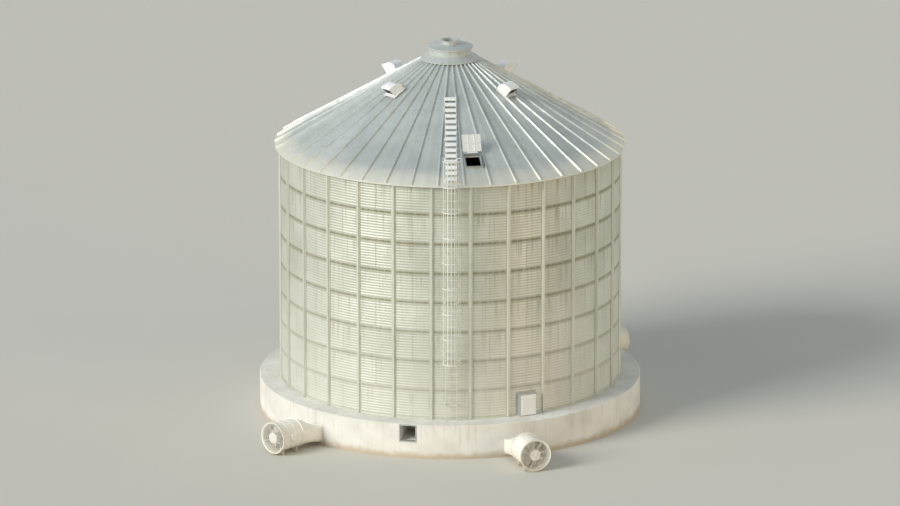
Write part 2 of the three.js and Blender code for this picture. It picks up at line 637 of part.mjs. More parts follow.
// Aeration fans on the ground: a round housing with its inlet outwards, and a duct into the plinth
const DUCT_WIDTH = 860;
const DUCT_LEVEL = [140, 700];
const DUCT_FLANGE = 15;
const DUCT_FLANGE_BORDER = 40;
const DUCT_OVERLAP = 60;
const FAN_NEAR = 8250;
const FAN_FAR = 9330;
const FAN_HEIGHT = 640;
const FAN_RADIUS = 530;
const FAN_BELL_RADIUS = 600;
const FAN_BELL_DEPTH = 110;
const FAN_FLANGE_RADIUS = 570;
const FAN_SIDES = 24;
const SADDLE_PLACES = [FAN_NEAR + 170, FAN_FAR - 230];
const SADDLE_WIDTH = 760;
const SADDLE_SHEET = 60;
const SADDLE_TOP = FAN_HEIGHT - 150;
const JUNCTION_BOX = { reach: 110, sunk: 60, length: 220, height: 260, rise: 60 };

// A closed loft from an upright rectangle to an upright circle, both square to the Y axis
function roundedDuct(yNear, yFar) {
  const middle = (DUCT_LEVEL[0] + DUCT_LEVEL[1]) / 2;
  const halfWidth = DUCT_WIDTH / 2;
  const halfHeight = (DUCT_LEVEL[1] - DUCT_LEVEL[0]) / 2;
  const positions = [];
  for (let side = 0; side < FAN_SIDES; side += 1) {
    const angle = ((side + 0.5) * 2 * Math.PI) / FAN_SIDES;
    const across = Math.cos(angle);
    const up = Math.sin(angle);
    const reach = Math.min(halfWidth / Math.abs(across), halfHeight / Math.abs(up));
    positions.push(reach * across, yNear, middle + reach * up);
    positions.push(FAN_RADIUS * across, yFar, FAN_HEIGHT + FAN_RADIUS * up);
  }
  const index = [];
  for (let side = 0; side < FAN_SIDES; side += 1) {
    const here = side * 2;
    const next = ((side + 1) % FAN_SIDES) * 2;
    index.push(here, next, next + 1, here, next + 1, here + 1);
    if (side > 0 && side < FAN_SIDES - 1) {
      index.push(0, next, here);
      index.push(1, here + 1, next + 1);
    }
  }
  const geometry = new THREE.BufferGeometry();
  geometry.setAttribute('position', new THREE.Float32BufferAttribute(positions, 3));
  geometry.setIndex(index);
  return geometry;
}

// Turns a profile of [radius, distance from the bin's axis] points about the fan's level axis
function revolveFan(profile) {
  const turned = revolve(profile, FAN_SIDES).rotateX(Math.PI / 2);
  return turned.translate(0, 0, FAN_HEIGHT);
}

function makeFans() {
  const plinth = ringBand(PLINTH_INNER_RADIUS, PLINTH_RADIUS + SEAM, [0, PLINTH_HEIGHT], FACET_COUNT);
  plinth.rotateZ(FACET / 2);
  const ductFar = FAN_NEAR - SEAM;
  const flangeNear = ductFar - DUCT_FLANGE;
  const duct = join([
    roundedDuct(-PLINTH_RADIUS + DUCT_OVERLAP, -ductFar),
    revolveFan([
      [0, flangeNear],
      [FAN_FLANGE_RADIUS, flangeNear],
      [FAN_FLANGE_RADIUS, ductFar],
      [0, ductFar],
    ]),
    box(
      around(0, DUCT_WIDTH + 2 * DUCT_FLANGE_BORDER),
      [-PLINTH_RADIUS - DUCT_FLANGE, -PLINTH_RADIUS + DUCT_OVERLAP],
      [DUCT_LEVEL[0] - DUCT_FLANGE_BORDER, DUCT_LEVEL[1] + DUCT_FLANGE_BORDER],
    ),
  ]);

  const housing = revolveFan([
    [0, FAN_NEAR],
    [FAN_FLANGE_RADIUS, FAN_NEAR],
    [FAN_FLANGE_RADIUS, FAN_NEAR + DUCT_FLANGE],
    [FAN_RADIUS, FAN_NEAR + DUCT_FLANGE],
    [FAN_RADIUS, FAN_FAR - FAN_BELL_DEPTH],
    [FAN_BELL_RADIUS, FAN_FAR],
    [0, FAN_FAR],
  ]);
  const saddles = SADDLE_PLACES.map((distance) =>
    box(around(0, SADDLE_WIDTH), around(-distance, SADDLE_SHEET), [0, SADDLE_TOP]));
  const junction = box(
    [FAN_RADIUS - JUNCTION_BOX.sunk, FAN_RADIUS + JUNCTION_BOX.reach],
    around(-(FAN_NEAR + FAN_FAR) / 2, JUNCTION_BOX.length),
    around(FAN_HEIGHT + JUNCTION_BOX.rise, JUNCTION_BOX.height),
  );
  const fan = join([housing, ...saddles, junction]);

  FAN_ANGLES.forEach((angle, number) => {
    add(`fan_duct_${number + 1}`, cut(duct, [plinth]), paintedWhite, angle);
    add(`aeration_fan_${number + 1}`, fan.clone(), paintedWhite, angle);
  });
}

makeFoundation();
makeWall();
makeDoor();
makeRoof();
makeVents();
makeHatch();
makeWallLadder();
makeCage();
makeRoofLadder();
makeFans();

export default silo;
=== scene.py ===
# The looks of a corrugated steel grain silo, built span its CAD model.
# Metres, +Z up. An angle is measured from the front (-Y) towards +X.
from math import asin, copysign, cos, pi, radians, sin, tan, tau

import bmesh
import bpy
import numpy as np
from mathutils import Matrix, Vector


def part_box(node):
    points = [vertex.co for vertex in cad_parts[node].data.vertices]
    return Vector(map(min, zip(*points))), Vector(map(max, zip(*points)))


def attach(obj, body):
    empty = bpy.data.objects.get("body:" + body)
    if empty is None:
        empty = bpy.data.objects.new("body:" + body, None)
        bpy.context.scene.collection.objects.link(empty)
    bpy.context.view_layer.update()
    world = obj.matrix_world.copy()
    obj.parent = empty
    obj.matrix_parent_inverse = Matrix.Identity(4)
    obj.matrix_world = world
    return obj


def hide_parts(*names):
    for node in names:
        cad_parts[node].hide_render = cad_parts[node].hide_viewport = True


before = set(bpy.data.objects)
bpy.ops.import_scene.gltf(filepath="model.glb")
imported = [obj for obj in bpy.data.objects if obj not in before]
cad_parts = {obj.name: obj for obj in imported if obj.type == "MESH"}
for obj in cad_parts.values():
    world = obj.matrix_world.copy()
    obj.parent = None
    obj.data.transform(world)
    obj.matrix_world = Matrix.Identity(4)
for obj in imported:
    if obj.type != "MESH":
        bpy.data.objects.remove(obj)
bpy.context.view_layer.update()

# Sizes of the bin, as in the CAD model
SHEETS = 14
RINGS = 8
RING_PITCH = 1.118
WALL_RADIUS = 6.4
PANELS = 42
SECTORS = 7
SLOPE = radians(30)
EAVE_RADIUS = 6.58
PEAK_RADIUS = 0.75
ROOF_SHEET = 0.012
RIB_HEIGHT = 0.065
ROOF_LAP = 0.06
EAVE_RING_OUTER = 6.44
EAVE_RING_INNER = 6.34
SEAM = 0.0004
PLINTH_OUTER = 7.2
PLINTH_INNER = 5.9
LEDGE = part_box("plinth_ring")[1].z
WALL_TOP = LEDGE + RINGS * RING_PITCH
EAVE_RING_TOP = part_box("eave_ring")[1].z

QUARTER = pi / 2
SHEET_ARC = tau / SHEETS
PANEL_ARC = tau / PANELS
FACET = tau / 84

# Places span the bin
LADDER_ANGLE = 3 * FACET
HATCH_ANGLE = 5 * FACET
DOOR_ANGLE = 9 * FACET
VENT_ANGLES = [15 * FACET, 33 * FACET, -27 * FACET, -9 * FACET]
FAN_ANGLES = [7.5 * FACET, 34.5 * FACET, -34.5 * FACET, -7.5 * FACET]

SIDEWAYS = (1, 0, 0)
OUTWARDS = (0, -1, 0)
UPWARDS = (0, 0, 1)


# Points


def spread(count, offset=0.5):
    """Angles spaced evenly round a full turn."""
    return [(number + offset) * tau / count for number in range(count)]


def polar(radius, turn):
    return radius * cos(turn), radius * sin(turn)


def circle(radius, sides, offset=0.5):
    return [polar(radius, turn) for turn in spread(sides, offset)]


def grid(x, y, z):
    """Points from coordinates, some of them shared by a row or column."""
    return np.stack(np.broadcast_arrays(x, y, z), axis=-1)


def bin_point(angle, radius, height):
    """The points at an angle round the bin's axis."""
    return grid(radius * np.sin(angle), -radius * np.cos(angle), height)


def mm(*numbers):
    """Pairs of numbers given in millimetres, in metres."""
    return [(x / 1000, y / 1000) for x, y in numbers]


def mirrored(half):
    """Half an outline, with its mirror image before it."""
    return [(-x, y) for x, y in half] + half[::-1]


def span(middle, width):
    return middle - width / 2, middle + width / 2


# Forms: each returns points and faces of a closed body


def loft(rings, closed=False):
    """Joins rings of points, each anticlockwise as seen from the last ring's side."""
    rings = np.asarray(rings, float)
    count, size, _ = rings.shape
    index = np.arange(count * size).reshape(count, size)
    upper = np.roll(index, -1, axis=0) if closed else index[1:]
    lower = index if closed else index[:-1]
    quads = np.stack([lower, np.roll(lower, -1, 1), np.roll(upper, -1, 1), upper], axis=-1)
    faces = quads.reshape(-1, 4).tolist()
    if not closed:
        faces += [index[0, ::-1].tolist(), index[-1].tolist()]
    return rings.reshape(-1, 3), faces


def slab(front, back):
    """A closed sheet between two grids of points: rows run up and columns run right."""
    index = np.arange(front[..., 0].size).reshape(front.shape[:2])
    quads = np.stack([index[:-1, :-1], index[:-1, 1:], index[1:, 1:], index[1:, :-1]], -1).reshape(-1, 4)
    rim = np.concatenate([index[0], index[1:, -1], index[-1, -2::-1], index[-2:0:-1, 0]])
    ahead = np.roll(rim, -1)
    edges = np.stack([ahead, rim, rim + index.size, ahead + index.size], axis=-1)
    faces = np.concatenate([quads, quads[:, [0, 3, 2, 1]] + index.size, edges])
    return np.concatenate([front.reshape(-1, 3), back.reshape(-1, 3)]), faces.tolist()


def spin(profile, sides, closed=False):
    """Turns (radius, height) points about Z, from the bottom up along the outside."""
    return loft([[(x, y, z) for x, y in circle(radius, sides, 0)] for radius, z in profile], closed)


def sweep(outline, angles):
    """Turns an anticlockwise (radius, height) outline through an arc of angles."""
    radii, heights = np.array(outline[::-1]).T
    return loft([bin_point(angle, radii, heights) for angle in angles])


def unit(vectors):
    return vectors / np.maximum(np.linalg.norm(vectors, axis=-1, keepdims=True), 1e-9)


def bar(path, section, up, closed=False):
    """Carries a (side, up) section along a path that lies square to the up direction."""
    path = np.array(path, float)
    section = np.array(section, float)
    up = unit(np.array(up, float))
    ahead = unit(np.roll(path, -1, 0) - path)
    behind = np.roll(ahead, 1, 0)
    if not closed:
        ahead[-1] = behind[-1]
        behind[0] = ahead[0]
    along = unit(ahead + behind)
    side = np.cross(up, along) / np.maximum(np.sum(along * ahead, axis=1, keepdims=True), 0.3)
    return loft(path[:, None] + section[:, :1] * side[:, None] + section[:, 1:] * up, closed)


def flat(width, thickness):
    """A bar's section: its width runs to the side and its thickness up."""
    return [(x * width / 2, z * thickness / 2) for x, z in ((-1, -1), (1, -1), (1, 1), (-1, 1))]


def prism(outline, low, high):
    """Raises an anticlockwise (x, y) outline from one height to another."""
    return loft([[(x, y, z) for x, y in outline] for z in (low, high)])


def side_prism(outline, left, right):
    """Raises an anticlockwise (y, z) outline along X."""
    return loft([[(x, y, z) for y, z in outline] for x in (left, right)])


def block_points(x, y, z, chamfer):
    """Points of a box with chamfered edges. Number 8 * axis + corner lies on that axis's face."""
    low, high = np.transpose([x, y, z])
    corners = np.array([(i, j, k) for i in (0, 1) for j in (0, 1) for k in (0, 1)] * 3)
    inward = np.where(corners == 1, -chamfer, chamfer)
    inward[np.arange(24), np.arange(24) // 8] = 0
    return low + (high - low) * corners + inward


def hull_faces(points):
    hull = bmesh.new()
    for point in points:
        hull.verts.new(point)
    bmesh.ops.convex_hull(hull, input=hull.verts)
    bmesh.ops.dissolve_limit(hull, angle_limit=0.01, verts=hull.verts, edges=hull.edges)
    hull.verts.index_update()
    return [[vert.index for vert in face.verts] for face in hull.faces]


BLOCK_FACES = hull_faces(block_points((-1, 1), (-1, 1), (-1, 1), 0.1))


def block(x, y, z, chamfer=0.002):
    return block_points(x, y, z, chamfer), BLOCK_FACES


def rod(start, end, radius, sides=16):
    return bar([start, end], circle(radius, sides), (Vector(end) - Vector(start)).orthogonal())


def level_rod(x, y, z, radius, sides):
    """A round bar along X, between two limits."""
    return rod((x[0], y, z), (x[1], y, z), radius, sides)


def level_rim(x, y, section):
    """A bar round a level rectangle. Its section's side points away from the middle."""
    path = [(x[0], y[0], 0), (x[0], y[1], 0), (x[1], y[1], 0), (x[1], y[0], 0)]
    return bar(path, section, UPWARDS, closed=True)


def wall_rim(x, z, y, section):
    """The same round an upright rectangle that faces -Y."""
    path = [(x[0], y, z[0]), (x[0], y, z[1]), (x[1], y, z[1]), (x[1], y, z[0])]
    return bar(path, section, OUTWARDS, closed=True)


# Places: frames in which a piece is built


def move(x, y, z):
    return Matrix.Translation((x, y, z))


def rotated(angle, axis="X"):
    return Matrix.Rotation(angle, 4, axis)


def turned(angle):
    """X to the right seen from outside, -Y outwards from the bin's axis."""
    return rotated(angle, "Z")


def facing_out(x, y, z):
    """Z towards -Y, Y up."""
    return move(x, y, z) @ rotated(QUARTER)


def on_wall(angle, radius, height):
    return turned(angle) @ facing_out(0, -radius, height)


SLOPE_RISE = tan(SLOPE)
ROOF_PEAK = EAVE_RING_TOP + SEAM + EAVE_RING_OUTER * SLOPE_RISE
SHEET_RISE = ROOF_SHEET / cos(SLOPE)
RIB_RISE = RIB_HEIGHT / cos(SLOPE)


def roof_top(radius):
    return ROOF_PEAK - radius * SLOPE_RISE + SHEET_RISE


def on_roof(angle, radius):
    """X along the eave, Y uphill, Z square to the roof sheet."""
    return turned(angle) @ move(0, -radius, roof_top(radius)) @ rotated(SLOPE)


class Shape:
    """Several forms gathered for one mesh, in the frame of one place."""

    def __init__(self, place=Matrix()):
        self.place = place
        self.points = []
        self.faces = []
        self.count = 0

    def add(self, form, *spots):
        """Adds a form as it is, or once at each spot."""
        points, faces = form
        for spot in spots or [Matrix()]:
            matrix = np.array(self.place @ spot)
            self.points.append(points @ matrix[:3, :3].T + matrix[:3, 3])
            self.faces += [[index + self.count for index in face] for face in faces]
            self.count += len(points)
        return self

    def form(self):
        return np.concatenate(self.points), self.faces

    def mesh(self, name):
        mesh = bpy.data.meshes.new(name)
        mesh.from_pydata(np.concatenate(self.points), [], self.faces)
        return mesh


def put(name, data):
    thing = bpy.data.objects.new(name, data)
    bpy.context.scene.collection.objects.link(thing)
    return thing


def piece(name, shape, material, replaces=(), body="silo", crease=32):
    """Makes a piece of a shape, smooth where faces meet at less than the crease angle."""
    mesh = shape.mesh(name)
    mesh.polygons.foreach_set("use_smooth", [True] * len(mesh.polygons))
    mesh.set_sharp_from_angle(angle=radians(crease))
    mesh.materials.append(material)
    thing = put(name, mesh)
    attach(thing, body)
    if replaces:
        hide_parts(*replaces)
    return thing


def cut_away(thing, tool):
    mesh = tool.mesh("cutter")
    cutter = put("cutter", mesh)
    boolean = thing.modifiers.new("cut", "BOOLEAN")
    boolean.object = cutter
    boolean.operation = "DIFFERENCE"
    boolean.solver = "EXACT"
    evaluated = thing.evaluated_get(bpy.context.evaluated_depsgraph_get())
    thing.data = bpy.data.meshes.new_from_object(evaluated)
    thing.modifiers.clear()
    bpy.data.objects.remove(cutter)
    bpy.data.meshes.remove(mesh)


def bolt_form(radius, height):
    """A hexagon head on a round washer, standing on Z = 0."""
    washer = spin([(radius * 1.6, 0), (radius * 1.6, height * 0.25)], 8)
    head = spin([(radius, height * 0.25), (radius, height * 0.85), (radius * 0.8, height)], 6)
    return Shape().add(washer).add(head).form()


BOLT = bolt_form(0.01, 0.011)
SCREW = bolt_form(0.007, 0.008)
ANCHOR = bolt_form(0.018, 0.024)


# Materials: each is a small graph of procedural nodes


class Paint:
    """A material whose colour is built up in layers, and short ways to add nodes to it."""

    def __init__(self, name, metallic, specular=0.5):
        self.material = bpy.data.materials.new(name)
        self.material.use_nodes = True
        self.tree = self.material.node_tree
        self.shader = self.tree.nodes["Principled BSDF"]
        self.wire(self.shader, {"Metallic": metallic, "Specular IOR Level": specular})
        self.place = self.node("TexCoord", {}, "Object")

    def wire(self, node, feeds):
        """Feeds a node's sockets with plain values or with other nodes' outputs."""
        for name, value in feeds.items():
            socket = node.inputs[name]
            if isinstance(value, bpy.types.NodeSocket):
                self.tree.links.new(value, socket)
            else:
                socket.default_value = (*value, 1) if socket.type == "RGBA" else value

    def node(self, kind, feeds, output=0, **settings):
        made = self.tree.nodes.new("ShaderNode" + kind)
        for name, value in settings.items():
            setattr(made, name, value)
        self.wire(made, feeds)
        return made.outputs[output]

    def math(self, operation, first, second=0):
        return self.node("Math", {0: first, 1: second}, operation=operation)

    def noise(self, scale, detail=4, stretch=(1, 1, 1), distortion=0):
        spot = self.node("Mapping", {"Scale": stretch, "Vector": self.place})
        feeds = {"Vector": spot, "Scale": scale, "Detail": detail, "Distortion": distortion}
        return self.node("TexNoise", feeds)

    def cells(self, scale):
        """A grey value for each cell of a pattern such as zinc spangle."""
        cells = self.node("TexVoronoi", {"Vector": self.place, "Scale": scale}, "Color")
        return self.node("SeparateColor", {0: cells})

    def fit(self, value, low, high, new_low=0, new_high=1):
        """Maps a range of values smoothly onto another."""
        feeds = {"Value": value, "From Min": low, "From Max": high, "To Min": new_low, "To Max": new_high}
        return self.node("MapRange", feeds, interpolation_type="SMOOTHSTEP")

    def blend(self, factor, first, second, mode="MIX"):
        feeds = {0: factor, 6: first, 7: second}
        return self.node("Mix", feeds, 2, data_type="RGBA", blend_type=mode)

    def tones(self, clouds, dark, light, low=0.3):
        """Starts the colour with two tones."""
        self.colour = self.blend(self.fit(clouds, low, 1 - low), dark, light)

    def layer(self, factor, colour):
        self.colour = self.blend(factor, self.colour, colour)

    def shade(self, grey):
        grey = self.blend(grey, (0, 0, 0), (1, 1, 1))
        self.colour = self.blend(1, self.colour, grey, "MULTIPLY")

    def axis(self, name):
        return self.node("SeparateXYZ", {0: self.place}, name)

    def turn(self, step):
        """The angle round the bin, counted in steps."""
        back = self.math("MULTIPLY", self.axis("Y"), -1)
        return self.math("DIVIDE", self.math("ARCTAN2", self.axis("X"), back), step)

    def ragged_height(self, scale, detail, reach):
        """The height, made uneven by noise of some metres."""
        return self.math("ADD", self.axis("Z"), self.math("MULTIPLY", self.noise(scale, detail), reach))

    def finish(self, roughness, bumps=()):
        """Joins the colour, roughness and (height, distance) bumps to the shader."""
        feeds = {"Base Color": self.colour, "Roughness": roughness}
        normal = {}
        for value, distance in bumps:
            normal = {"Normal": self.node("Bump", {"Height": value, "Distance": distance, **normal})}
        self.wire(self.shader, {**feeds, **normal})
        return self.material


def scaled(colour, share):
    return [share * value for value in colour]


def galvanised(name, light, dark, metallic=0.6, roughness=0.42, stain=0.5):
    """Zinc-coated sheet: spangle, soft clouds and upright weather streaks."""
    paint = Paint(name, metallic)
    spangle = paint.cells(55)
    paint.tones(paint.noise(0.7, 5), dark, light)
    paint.shade(paint.fit(spangle, 0, 1, 0.93, 1.05))
    worn = paint.fit(paint.noise(1, 6, (9, 9, 0.35), 0.3), 0.52, 0.72, 0, stain)
    paint.layer(worn, scaled(dark, 0.78))
    rough = paint.fit(spangle, 0, 1, roughness - 0.06, roughness + 0.08)
    return paint.finish(rough, [(paint.noise(3, 3), 0.006), (spangle, 0.0001)])


def wall_steel():
    """Wall sheets: a tone for each sheet, dark ring joints and runs, and towards the foot pale dust with
    painted bounce light.
    """
    paint = Paint("wall_steel", 0.5)
    math = paint.math
    fit = paint.fit
    ring = math("DIVIDE", math("SUBTRACT", paint.axis("Z"), LEDGE), RING_PITCH)
    tier = math("FLOOR", ring)
    within = math("FRACT", ring)
    shift = math("MULTIPLY", math("MODULO", tier, 2), 0.5)
    column = math("SUBTRACT", paint.turn(SHEET_ARC), shift)
    sheet = math("WRAP", math("FLOOR", column), SHEETS)
    key = paint.node("CombineXYZ", {0: sheet, 1: tier})
    tone = paint.node("TexWhiteNoise", {"Vector": key}, noise_dimensions="2D")

    spangle = paint.cells(55)
    streaks = paint.noise(1, 6, (8, 8, 0.3), 0.4)
    paint.tones(paint.noise(0.6, 5), (0.61, 0.623, 0.54), (0.705, 0.718, 0.645))
    paint.shade(math("MULTIPLY", fit(tone, 0, 1, 0.9, 1), fit(spangle, 0, 1, 0.95, 1.03)))
    above = math("MULTIPLY", math("SUBTRACT", 1, within), 0.45)
    joint = fit(math("MINIMUM", within, above), 0, 0.07, 0.95, 0)
    joint = math("MULTIPLY", joint, fit(streaks, 0.35, 0.6, 0.75, 1))
    runs = math("MULTIPLY", fit(streaks, 0.5, 0.68), fit(within, 0.1, 1, 0.1, 0.5))
    along = math("FRACT", column)
    side = math("MINIMUM", along, math("SUBTRACT", 1, along))
    dirt = math("MAXIMUM", math("MAXIMUM", joint, runs), fit(side, 0, 0.012, 0.35, 0))
    paint.layer(dirt, (0.27, 0.26, 0.17))
    # Paler and less metallic towards the foot: partly dust, partly painted light bounced up from the
    # ground.
    dust = fit(paint.ragged_height(0.9, 5, 2), LEDGE, WALL_TOP - 1, 0.62, 0)
    paint.layer(dust, (0.69, 0.68, 0.62))
    metallic = math("SUBTRACT", 0.5, math("MULTIPLY", dust, 0.45))
    paint.wire(paint.shader, {"Metallic": metallic})
    gloss = math("ADD", fit(spangle, 0, 1, 0.46, 0.54), fit(tone, 0, 1, 0.08, 0))
    rough = math("ADD", gloss, math("MULTIPLY", dirt, 0.25))
    return paint.finish(rough, [(paint.noise(1.4, 2), 0.03), (spangle, 0.0001)])


def roof_steel():
    """Roof sheets: bluish zinc, a tone for each panel, dull patches, and a painted glint along the eave.
    """
    paint = Paint("roof_steel", 0.45)
    spangle = paint.cells(50)
    dust = paint.noise(4, 8)
    paint.tones(paint.noise(0.5, 6, distortion=0.5), (0.55, 0.59, 0.57), (0.67, 0.71, 0.685))
    paint.layer(paint.fit(dust, 0.52, 0.7, 0, 0.3), (0.4, 0.41, 0.37))
    panel = paint.math("FLOOR", paint.turn(PANEL_ARC))
    tone = paint.node("TexWhiteNoise", {"W": panel}, noise_dimensions="1D")
    zinc = paint.fit(spangle, 0, 1, 0.94, 1.04)
    paint.shade(paint.math("MULTIPLY", zinc, paint.fit(tone, 0, 1, 0.93, 1.03)))
    # Painted highlight: a pale band along the eave that stands for the glint of its edge.
    painted_eave_glint = paint.fit(paint.ragged_height(1.2, 5, 0.35), WALL_TOP + 0.3, WALL_TOP + 0.65, 0.75, 0)
    paint.layer(painted_eave_glint, (0.82, 0.8, 0.7))
    rough = paint.fit(dust, 0.3, 0.7, 0.46, 0.6)
    return paint.finish(rough, [(paint.noise(1.6, 2), 0.02), (spangle, 0.0001)])


def whitewash(name, light, dark, soil):
    """Limewashed concrete: boards, pores, runs below the ledge and soil splashed at the foot."""
    paint = Paint(name, 0, 0.3)
    clouds = paint.noise(0.9, 6)
    pores = paint.noise(38, 6)
    streaks = paint.fit(paint.noise(1, 6, (7, 7, 0.5), 0.6), 0.52, 0.72)
    paint.tones(clouds, dark, light)
    runs = paint.math("MULTIPLY", streaks, paint.fit(paint.axis("Z"), 0.2, LEDGE, 0.15, 0.55))
    paint.layer(runs, scaled(dark, 0.72))
    paint.layer(paint.fit(paint.ragged_height(2.5, 6, -0.35), -0.12, 0.16, 0.85, 0), soil)
    paint.layer(paint.fit(pores, 0.62, 0.75, 0, 0.35), scaled(dark, 0.6))
    feeds = {"Vector": paint.place, "Scale": 1.6, "Distortion": 0.15}
    boards = paint.node("TexWave", feeds, "Fac", bands_direction="Z", wave_profile="SAW")
    bumps = [(boards, 0.002), (pores, 0.003), (clouds, 0.01)]
    return paint.finish(paint.fit(pores, 0.3, 0.7, 0.8, 0.95), bumps)


def fan_paint():
    """Creamy white paint, grimy near the ground and chipped in spots."""
    paint = Paint("fan_paint", 0)
    clouds = paint.noise(2.2, 5)
    chips = paint.noise(26, 8)
    paint.tones(clouds, (0.83, 0.8, 0.72), (0.9, 0.88, 0.81))
    grime = paint.fit(paint.ragged_height(5, 6, -0.5), -0.25, 0.15, 0.6, 0)
    paint.layer(grime, (0.5, 0.43, 0.32))
    paint.layer(paint.fit(chips, 0.7, 0.74, 0, 0.8), (0.22, 0.13, 0.08))
    rough = paint.fit(clouds, 0.3, 0.7, 0.36, 0.55)
    return paint.finish(rough, [(chips, 0.0006), (paint.noise(90, 2), 0.0003)])


def plain_coat(name, light, dark, metallic, roughness, scale):
    """A small part's finish: two tones in fine clouds, with a worn bump."""
    paint = Paint(name, metallic)
    clouds = paint.noise(scale, 6)
    paint.tones(clouds, dark, light, 0.32)
    rough = paint.fit(clouds, 0.3, 0.7, roughness - 0.08, roughness + 0.1)
    return paint.finish(rough, [(clouds, 0.0008)])


WALL_STEEL = wall_steel()
ROOF_STEEL = roof_steel()
POST_STEEL = galvanised("post_steel", (0.74, 0.75, 0.67), (0.66, 0.67, 0.59), 0.5, 0.52, 0.3)
BRIGHT_STEEL = galvanised("bright_steel", (0.88, 0.89, 0.86), (0.8, 0.81, 0.78), 0.35, 0.42, 0.2)
PALE_STEEL = galvanised("pale_steel", (0.95, 0.96, 0.94), (0.88, 0.89, 0.87), 0.1, 0.45, 0.15)
HATCH_STEEL = galvanised("hatch_steel", (0.64, 0.66, 0.65), (0.5, 0.52, 0.51), roughness=0.4, stain=0.4)
PLINTH_CONCRETE = whitewash("plinth_concrete", (0.83, 0.82, 0.775), (0.72, 0.7, 0.645), (0.5, 0.42, 0.3))
FLOOR_CONCRETE = whitewash("floor_concrete", (0.5, 0.48, 0.44), (0.38, 0.36, 0.32), (0.34, 0.3, 0.24))
FAN_PAINT = fan_paint()
# Dark steel for the vent screens, also used as painted shade for the plate in each vent's throat.
DARK_STEEL_AND_SHADE = plain_coat("dark_steel_and_painted_shade", (0.1, 0.1, 0.1), (0.05, 0.05, 0.05), 0.5, 0.5, 20)
RUBBER = plain_coat("rubber", (0.035, 0.035, 0.035), (0.02, 0.02, 0.02), 0, 0.75, 60)
WHEEL_STEEL = plain_coat("wheel_steel", (0.82, 0.8, 0.74), (0.68, 0.66, 0.6), 0, 0.5, 14)


# Wall: corrugated sheets in rings that lap and break joint, with posts and bolts

WAVES = 11
WAVE_PITCH = RING_PITCH / WAVES
WAVE_DEPTH = 0.006
WAVE_STEPS = 6
SHEET_COLUMNS = 10
SHEET_SKIN = 0.002
SHEET_MIDDLE = WALL_RADIUS - 0.008
LAP = 0.05
LAP_STEP = 0.0016
CREST = SHEET_MIDDLE + WAVE_DEPTH + LAP_STEP

DOOR_SEGMENT = 1
DOOR_EDGE = asin(0.3504 / WALL_RADIUS)
DOOR_COVER = 0.42 / WALL_RADIUS
DOOR_HEIGHT = 0.85
DOOR_TOP = LEDGE + DOOR_HEIGHT


def sheet_form(ring, start, end, low, high, sheet_start):
    """A stretch of corrugated sheet. It is tipped so that its lower and right edges lie outside."""
    columns = max(1, round((end - start) / SHEET_ARC * SHEET_COLUMNS)) + 1
    rows = max(1, round((high - low) / WAVE_PITCH * WAVE_STEPS)) + 1
    angle = np.linspace(start, end, columns)[None, :]
    height = np.linspace(low, high, rows)[:, None]
    up = (height - LEDGE) / RING_PITCH - ring
    across = (angle - sheet_start) / SHEET_ARC
    wave = WAVE_DEPTH * np.cos(tau * up * WAVES)
    radius = SHEET_MIDDLE + wave + LAP_STEP * (across - up)
    return slab(bin_point(angle, radius, height), bin_point(angle, radius - SHEET_SKIN, height))


def wall_sheets(segment):
    """All sheets of one upright segment. Every second ring is shifted by half a sheet."""
    shape = Shape()
    start = segment * SHEET_ARC
    middle = start + SHEET_ARC / 2
    end = start + SHEET_ARC
    for ring in range(RINGS):
        low = LEDGE + ring * RING_PITCH
        high = min(low + RING_PITCH + LAP / 2, WALL_TOP)
        low -= LAP / 2 if ring else 0
        parts = [(start, end, low, high, start)]
        if ring % 2:
            parts = [(start, middle, low, high, middle - SHEET_ARC), (middle, end, low, high, middle)]
        elif ring == 0 and segment == DOOR_SEGMENT:
            left, right = span(DOOR_ANGLE, 2 * DOOR_EDGE)
            parts = [(start, left, low, DOOR_TOP, start), (right, end, low, DOOR_TOP, start)]
            parts.append((start, end, DOOR_TOP, high, start))
        for part in parts:
            shape.add(sheet_form(ring, *part))
    return shape


RING_BOLTS = 12
SEAM_BOLTS_APART = 0.05 / WALL_RADIUS
POST_BOLTS_APART = 0.136 / WALL_RADIUS
BOLT_WAVES = (1, 4, 7, 10)
POST_FLANGE = 0.007
POST_HALF = 0.083
POST_SHEET = 0.004
POST_FOOT = WALL_RADIUS * cos(FACET / 2)
SLEEVE_GAP = 0.005
SLEEVE = 0.38
SHOE = 0.012


def hat_section(grow=0):
    """A folded post's section: (side, outwards) points along its outside and back inside."""
    flange = POST_FLANGE + grow
    outside = [(POST_HALF, flange), (0.052 + grow, flange), (0.03 + grow, 0.07 + grow)]
    inside = [(x - POST_SHEET, max(y - POST_SHEET, 0.003)) for x, y in outside]
    inside[0] = (POST_HALF, inside[0][1])
    return mirrored(outside) + mirrored(inside)[::-1]


def door_covers(angle, height):
    return abs(angle - DOOR_ANGLE) < DOOR_COVER and height < DOOR_TOP + 0.05


def bolt_places(angles, radius, heights):
    """Places on the wall at each angle and height, except round the door."""
    return [on_wall(a, radius, z) for a in angles for z in heights if not door_covers(a, z)]


